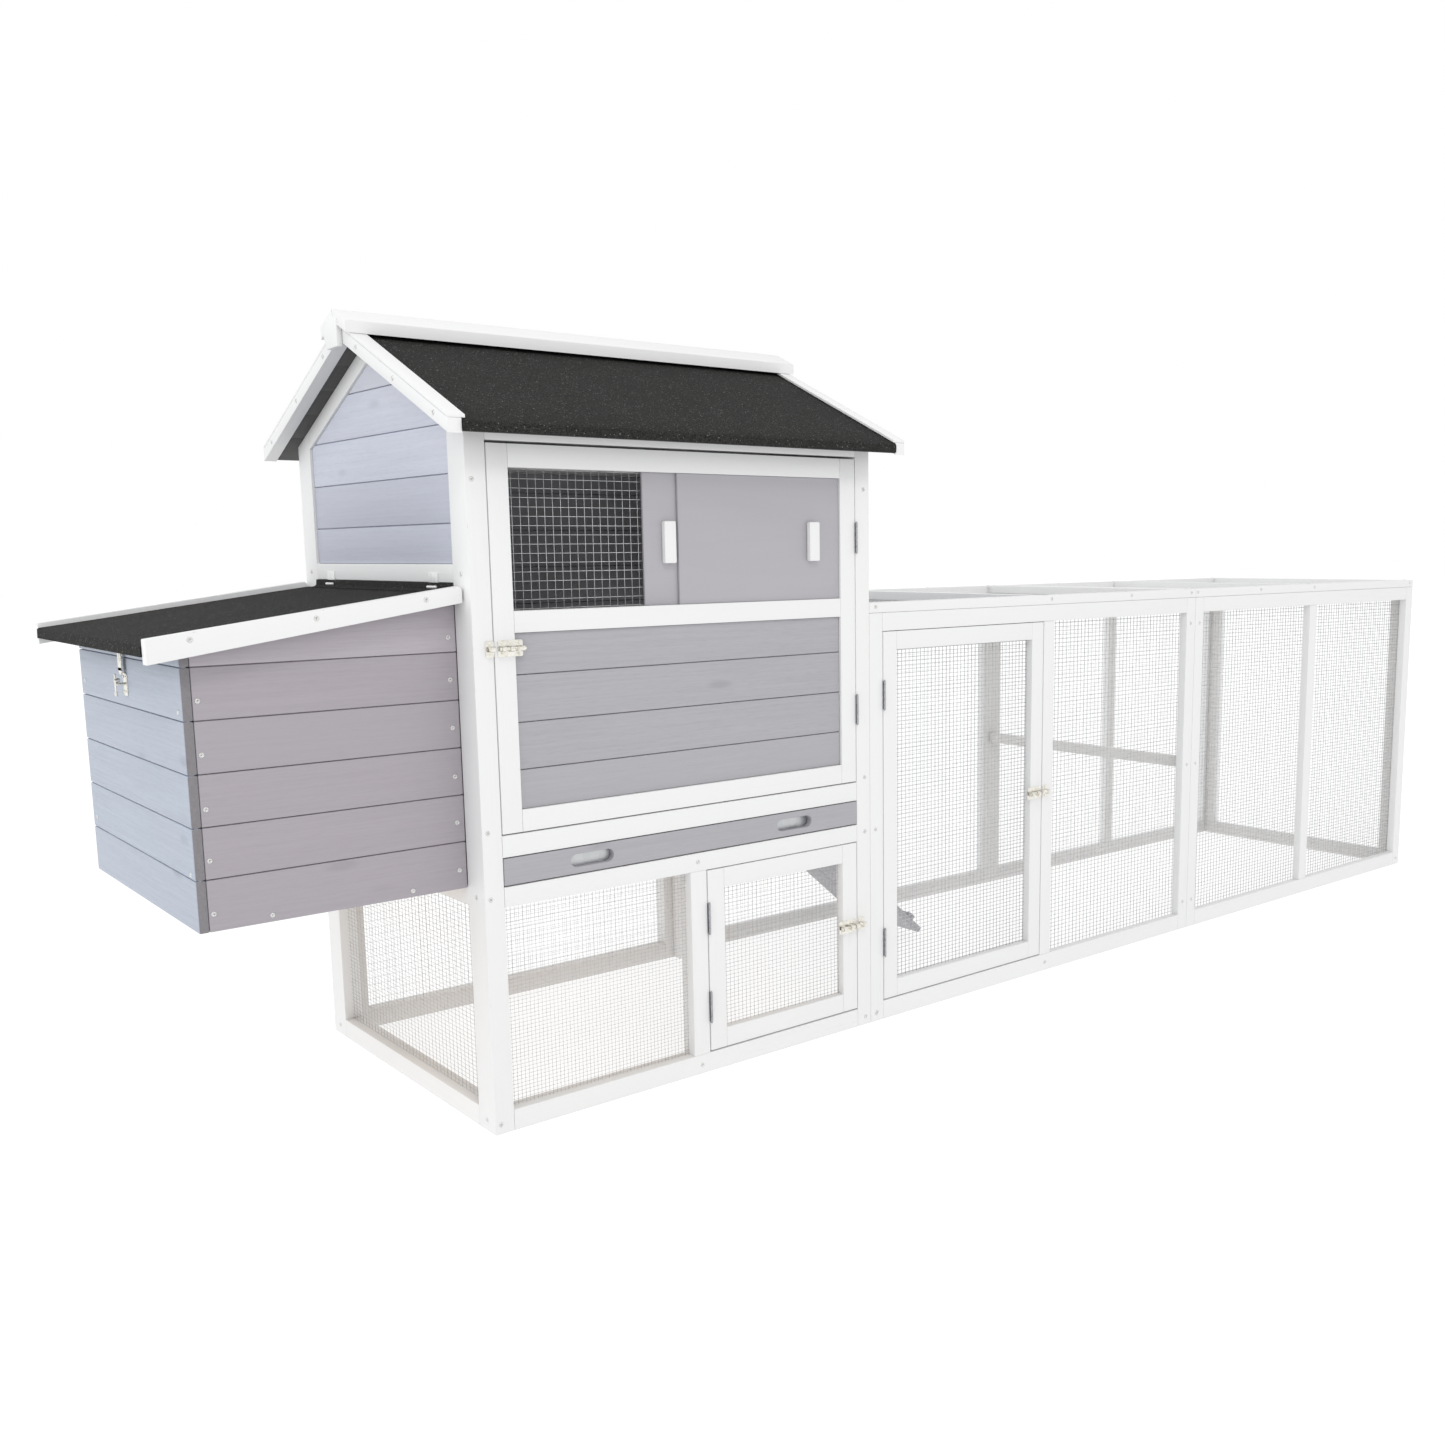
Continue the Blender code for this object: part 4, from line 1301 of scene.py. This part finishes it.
def screwTree():
    # a cross-head screw at each point of the carrier, looking along its facing
    nodes = Nodes("screws", [("Size", "NodeSocketFloat")])
    size = nodes.input("Size")
    rise = screw["rise"] * 0.001
    cone = {"Vertices": 12, "Radius Top": screw["flat"] * 0.001, "Radius Bottom": screw["head"] * 0.001}
    head = nodes.add("GeometryNodeMeshCone", {}, {**cone, "Depth": rise})
    long, thin, deep = (value * 0.001 for value in screw["cross"])
    slots = []
    for sizeX, sizeY in ((long, thin), (thin, long)):
        box = nodes.add("GeometryNodeMeshCube", {}, {"Size": (sizeX, sizeY, deep)})
        slots.append(nodes.add("GeometryNodeTransform", {}, {"Geometry": box, "Translation": (0, 0, rise)}))
    bodies = {"Mesh 1": head, "Mesh 2": slots}
    crossed = nodes.add("GeometryNodeMeshBoolean", {"operation": "DIFFERENCE"}, bodies)
    facing = nodes.add("GeometryNodeInputNamedAttribute", {"data_type": "FLOAT_VECTOR"}, {"Name": "facing"})
    turn = nodes.add("FunctionNodeAlignRotationToVector", {"axis": "Z"}, {"Vector": facing})
    angle = nodes.add("FunctionNodeRandomValue", {"data_type": "FLOAT"}, {2: 0.0, 3: 3.0, "Seed": 4}, 1)
    spin = nodes.add("FunctionNodeAxisAngleToRotation", {}, {"Axis": (0, 0, 1), "Angle": angle})
    spun = nodes.add("FunctionNodeRotateRotation", {"rotation_space": "LOCAL"}, {0: turn, 1: spin})
    values = {"Points": nodes.start.outputs[0], "Instance": crossed, "Rotation": spun}
    values["Scale"] = nodes.vector(size, size, size)
    heads = nodes.add("GeometryNodeInstanceOnPoints", {}, values)
    nodes.finish(heads, screwMetal)
    return nodes


def screwPlaces():
    # (place, facing) of each screw head, for each body
    toFront = (0, -1, 0)
    toLeft = (-1, 0, 0)
    toRight = (1, 0, 0)
    toBack = (0, 1, 0)
    up = (0, 0, 1)
    coop = []
    for z in (14, 343, 437, 917):
        coop += [((9, 0, z), toFront), ((708, 0, z), toFront)]
    for z in (14, 343):
        coop += [((360, 0, z), toFront), ((733, 0, z), toFront)]
    for i, z in enumerate((376, 444, 509, 577, 644, 702)):
        for y, facing in ((nest["front"], toFront), (nest["back"], toBack)):
            coop.append(((-11.5, y, z + 4), facing))
            if i < 5:
                coop.append(((-342.5, y, z), facing))
    for x in (-271, -81):
        coop += [((x, nest["front"], 362), toFront), ((x, nest["back"], 362), toBack)]
    coop += [((-nest["length"], y, z), toLeft) for y, z in ((67, 630), (67, 426), (522, 436), (522, 640))]
    for x in (-41.5, 761.5):
        facing = toLeft if x < 0 else toRight
        for side in (-1, 1):
            for reach in (62, 180, 300):
                y = ridgeY + side * reach
                coop.append(((x, y, roofLine(y, 7)), facing))
    for x in (735, 1181, 2558):
        coop += [((x, 0, 16), toFront), ((x, 595, 16), toBack)]
    for x in (735, 1186, 1429, 1631, 1653, 1890, 2110, 2557):
        coop += [((x, 0, 724), toFront), ((x, 595, 724), toBack)]
        coop += [((x, y, 731), up) for y in (15, 580)]
    for x in (1631, 1662):
        coop += [((x, 0, z), toFront) for z in (60, 360, 660)]
        coop += [((x, 595, z), toBack) for z in (60, 360, 660)]
    for y in (32, 563):
        coop += [((2573, y, z), toRight) for z in (16, 698)]
    for y in (25, 570):
        for z in (16, 343, 792):
            coop.append(((0, y, z), toLeft))
    for z in (420, 600, 800, 940):
        coop += [((41, 595, z), toBack), ((679, 595, z), toBack)]
    lidParts = []
    for x in (-355, -202, -55):
        z = lidTop(x) - 2
        lidParts += [((x, lid["front"], z), toFront), ((x, lid["back"], z), toBack)]
    upper = []
    for x in (47, 673):
        upper += [((x, 20, z), toBack) for z in (447, 725, 950)]
    lower = []
    for x in (393, 673):
        lower += [((x, 17, z), toBack) for z in (49, 311)]
    runDoor = []
    for x in (767, 1147):
        runDoor += [((x, 17, z), toBack) for z in (51, 666)]
    return {"coop": coop, "nest_lid": lidParts, "upper_door": upper, "lower_door": lower, "run_door": runDoor}


def addScrews():
    nodes = screwTree()
    for body, places in screwPlaces().items():
        carrier = carrierObject("screw_carrier", *zip(*places))
        mesh = madeMesh(carrier, nodes, {"Size": 1.0})
        bpy.data.objects.remove(carrier, do_unlink=True)
        placeMesh(body + "_screws", mesh, Matrix.Identity(4), body, "nickel")


addScrews()
print("screws driven")


# ---- hinges, bolts and hasp ----

def addCylinder(bm, start, end, radius, sides=20, taper=None):
    start = Vector(start)
    end = Vector(end)
    axis = end - start
    turn = axis.to_track_quat("Z", "Y").to_matrix().to_4x4()
    place = Matrix.Translation((start + end) / 2) @ turn
    options = {"radius1": radius, "radius2": radius if taper is None else taper, "depth": axis.length}
    made = bmesh.ops.create_cone(bm, cap_ends=True, segments=sides, matrix=place, **options)
    edges = {edge for vert in made["verts"] for edge in vert.link_edges}
    rims = {edge for edge in edges if len(edge.link_faces) == 2 and edge.calc_face_angle(0) > 1.0}
    bmesh.ops.bevel(bm, geom=list(rims), offset=radius * 0.12, segments=2, profile=0.6, affect="EDGES")


def addPlate(bm, x, y, z, bevel=0.3):
    absorb(bm, bar(x, y, z, bevel))


def roundedPlate(bm, plane, u, v, w, corner=2.5):
    # a pressed plate with round corners
    outline = []
    near = (u[0] + corner, v[0] + corner)
    far = (u[1] - corner, v[1] - corner)
    for cu, cv, start in ((*far, 0), (near[0], far[1], 90), (*near, 180), (far[0], near[1], 270)):
        for step in range(5):
            angle = math.radians(start + step * 22.5)
            outline.append((cu + corner * math.cos(angle), cv + corner * math.sin(angle)))
    absorb(bm, plank(plane, outline, w[0], w[1], 0.2))


hinge = {"height": 50, "radius": 1.8, "knuckles": 5, "leaf": 18}


def doorHinge(name, body, x, crack, z, side):
    # x is the joint's axis, and side is +1 where the door is to the right of it. The leaves lie in the crack.
    y = -3.0
    low = z - hinge["height"] / 2
    step = hinge["height"] / hinge["knuckles"]
    for owner, first in (("coop", 0), (body, 1)):
        bm = bmesh.new()
        for i in range(first, hinge["knuckles"], 2):
            top = low + (i + 1) * step - 0.25
            addCylinder(bm, (x, y, low + i * step + 0.25), (x, y, top), hinge["radius"], 16)
        shift = 0.35 if (owner == body) == (side > 0) else -0.35
        face = crack + shift
        z = (low + 1, low + hinge["height"] - 1)
        addPlate(bm, (face - 0.3, face + 0.3), (y + 2.2, hinge["leaf"] + y), z, 0.1)
        if owner == "coop":
            addCylinder(bm, (x, y, low - 1.2), (x, y, low + hinge["height"] + 1.2), 1.3, 12)
        standFor(plainObject(name + "_" + owner, bm, hingeSteel), owner, "nickel")


def lidHinge(name, y):
    x = -3.0
    z = 773.2
    step = 30 / 5
    low = y - 15
    for owner, first in (("coop", 0), ("nest_lid", 1)):
        bm = bmesh.new()
        for i in range(first, 5, 2):
            addCylinder(bm, (x, low + i * step + 0.2, z), (x, low + (i + 1) * step - 0.2, z), 2.2, 16)
        if owner == "coop":
            roundedPlate(bm, "YZ", (low, low + 30), (z + 4, z + 20), (-1.2, -0.1), 2)
            addPlate(bm, (-2.0, -0.5), (low + 0.3, low + 29.7), (z + 1.2, z + 5), 0.2)
            addCylinder(bm, (x, low - 0.8, z), (x, low + 30.8, z), 1.1, 12)
        else:
            outline = lidOutline(14.7, 15.8, (-24, -4))
            absorb(bm, plank("XZ", outline, low, low + 30, 0.2))
        standFor(plainObject(name + "_" + owner, bm, brightWire), owner, "galvanised")


bolt = {"plate": (38, 23), "thick": 1.0, "rod": 2.8, "y": -8.5, "knob": 4.0}


def halfRing(bm, x, z, width, radius, gauge):
    # a strap pressed over the rod, with its feet on the plate
    section = []
    steps = 12
    for layer in (radius, radius + gauge):
        line = [(z - radius - gauge if layer > radius else z - radius, -1.0)]
        for i in range(steps + 1):
            angle = math.pi * i / steps
            line.append((z - layer * math.cos(angle), bolt["y"] - layer * math.sin(angle)))
        line.append((z + (layer if layer > radius else radius), -1.0))
        section.append(line)
    grid = []
    for x0 in (x - width / 2, x + width / 2):
        grid.append([[bm.verts.new((x0, y, zz)) for zz, y in line] for line in section])
    count = len(section[0])
    faces = []
    for i in range(count - 1):
        for layer in (0, 1):
            faces.append((grid[0][layer][i], grid[0][layer][i + 1], grid[1][layer][i + 1], grid[1][layer][i]))
        for end in (0, 1):
            faces.append((grid[end][0][i], grid[end][0][i + 1], grid[end][1][i + 1], grid[end][1][i]))
    for i in (0, count - 1):
        faces.append((grid[0][0][i], grid[0][1][i], grid[1][1][i], grid[1][0][i]))
    made = [bm.faces.new(face) for face in faces]
    bmesh.ops.recalc_face_normals(bm, faces=made)


def rivet(bm, x, z, wide, narrow):
    face = -bolt["thick"]
    addCylinder(bm, (x, face, z), (x, face - 0.9, z), wide, 12, narrow)


def barrelBolt(name, door, tip, z, way):
    # way is the direction in which the rod shoots: the plate is on the door, the keeper past the joint
    wide, high = bolt["plate"]
    bm = bmesh.new()
    x0 = tip - way * 1.5
    x = sorted((x0, x0 - way * wide))
    roundedPlate(bm, "XZ", x, (z - high / 2, z + high / 2), (-bolt["thick"], -0.05), 2.5)
    for place in (x0 - way * 5, x0 - way * 17, x0 - way * 33):
        halfRing(bm, place, z, 6, bolt["rod"] + 0.4, 1.0)
    for dx in (6, wide - 6):
        for dz in (-8, 8):
            centre = x0 - way * dx
            rivet(bm, centre, z + dz, 2.4, 1.7)
    standFor(plainObject(name + "_plate", bm, nickel), door, "nickel")
    bm = bmesh.new()
    k0 = tip + way * 4
    x = sorted((k0, k0 + way * 13))
    roundedPlate(bm, "XZ", x, (z - high / 2, z + high / 2), (-bolt["thick"], -0.05), 2.5)
    halfRing(bm, k0 + way * 6.5, z, 7, bolt["rod"] + 0.4, 1.0)
    for dz in (-8.5, 8.5):
        centre = k0 + way * 6.5
        rivet(bm, centre, z + dz, 2.2, 1.6)
    standFor(plainObject(name + "_keeper", bm, nickel), "coop", "nickel")
    bm = bmesh.new()
    end = tip - way * 40
    addCylinder(bm, (tip, bolt["y"], z), (end, bolt["y"], z), bolt["rod"], 20)
    stem = tip - way * 25
    addCylinder(bm, (stem, bolt["y"], z), (stem, bolt["y"] - 8, z), 1.5, 14)
    addCylinder(bm, (stem, bolt["y"] - 7, z), (stem, bolt["y"] - 12, z), 2.2, 16, bolt["knob"] * 0.8)
    standFor(plainObject(name + "_rod", bm, nickel), door.replace("door", "bolt"), "nickel", name)


def haspAndStaple():
    y = (nest["front"] + nest["back"]) / 2
    x = -366.5
    bm = bmesh.new()
    outline = [(y - 8, 699.5), (y - 8, 668)]
    for step in range(7):
        angle = math.pi + math.pi * step / 6
        outline.append((y + 8 * math.cos(angle), 670 + 8 * math.sin(angle)))
    outline += [(y + 8, 668), (y + 8, 699.5)]
    absorb(bm, plank("YZ", outline, x - 0.9, x + 0.9, 0.3))
    addCylinder(bm, (x, y - 5, 699.5), (x, y + 5, 699.5), 1.9, 14)
    rib = 2.2
    addPlate(bm, (x - 1.7, x - 0.6), (y - rib, y + rib), (680, 697), 0.4)
    standFor(plainObject("hasp_strap_plate", bm, nickel), "hasp", "nickel", "hasp_strap")
    bm = bmesh.new()
    for side in (-1, 1):
        addCylinder(bm, (x, y + side * 5.2, 699.5), (x, y + side * 9, 699.5), 1.9, 14)
    addCylinder(bm, (x, y - 9.6, 699.5), (x, y + 9.6, 699.5), 1.0, 10)
    addPlate(bm, (x - 0.5, x + 22), (y - 9, y + 9), (700.4, 701.4), 0.2)
    standFor(plainObject("hasp_hinge_leaf", bm, nickel), "nest_lid", "nickel")
    bm = bmesh.new()
    roundedPlate(bm, "YZ", (y - 9.5, y + 9.5), (634, 664), (-362.2, -361.05), 3)
    for z in (639, 659):
        for side in (-5.5, 5.5):
            addCylinder(bm, (-362, y + side, z), (-363.2, y + side, z), 2.2, 12, 1.6)
    for side in (-4.2, 4.2):
        addCylinder(bm, (-361.5, y + side, 650), (-373, y + side, 650), 1.6, 12)
    addCylinder(bm, (-372, y - 5.5, 650), (-372, y + 5.5, 650), 1.9, 14)
    addCylinder(bm, (-375.4, y, 655), (-368.6, y, 655), 3.2, 16)
    addPlate(bm, (-375, -373), (y - 2.6, y + 2.6), (637, 664), 0.8)
    addPlate(bm, (-375.4, -372.6), (y - 4.2, y + 4.2), (634, 640), 0.8)
    standFor(plainObject("hasp_staple", bm, nickel), "coop", "nickel")


doorHinges = {
    # joint's axis, the crack beside it, centres of the two hinges, side
    "upper": (690, 689.25, (839, 554.5), -1),
    "lower": (377.5, 376.5, (250, 106), 1),
    "run": (752, 751.15, (574, 139), 1),
}


def fittings():
    for name, (x, crack, heights, side) in doorHinges.items():
        for end, z in zip(("high", "low"), heights):
            doorHinge(name + "_hinge_" + end, name + "_door", x, crack, z, side)
    lidHinge("lid_hinge_near", 110)
    lidHinge("lid_hinge_far", 485)
    barrelBolt("upper_door_bolt", "upper_door", 34.5, 690, -1)
    barrelBolt("lower_door_bolt", "lower_door", 687.5, 183, 1)
    barrelBolt("run_door_bolt", "run_door", 1162, 358, 1)
    haspAndStaple()


fittings()
print("fittings made")


# ---- floor ----

def addFloor():
    bm = bmesh.new()
    bmesh.ops.create_grid(bm, x_segments=1, y_segments=1, size=30)
    mesh = bpy.data.meshes.new("floor")
    bmesh.ops.translate(bm, verts=bm.verts, vec=(0, 0, -0.0006))
    bm.to_mesh(mesh)
    bm.free()
    mesh.materials.append(paleFloor())
    linked("floor", mesh)


addFloor()

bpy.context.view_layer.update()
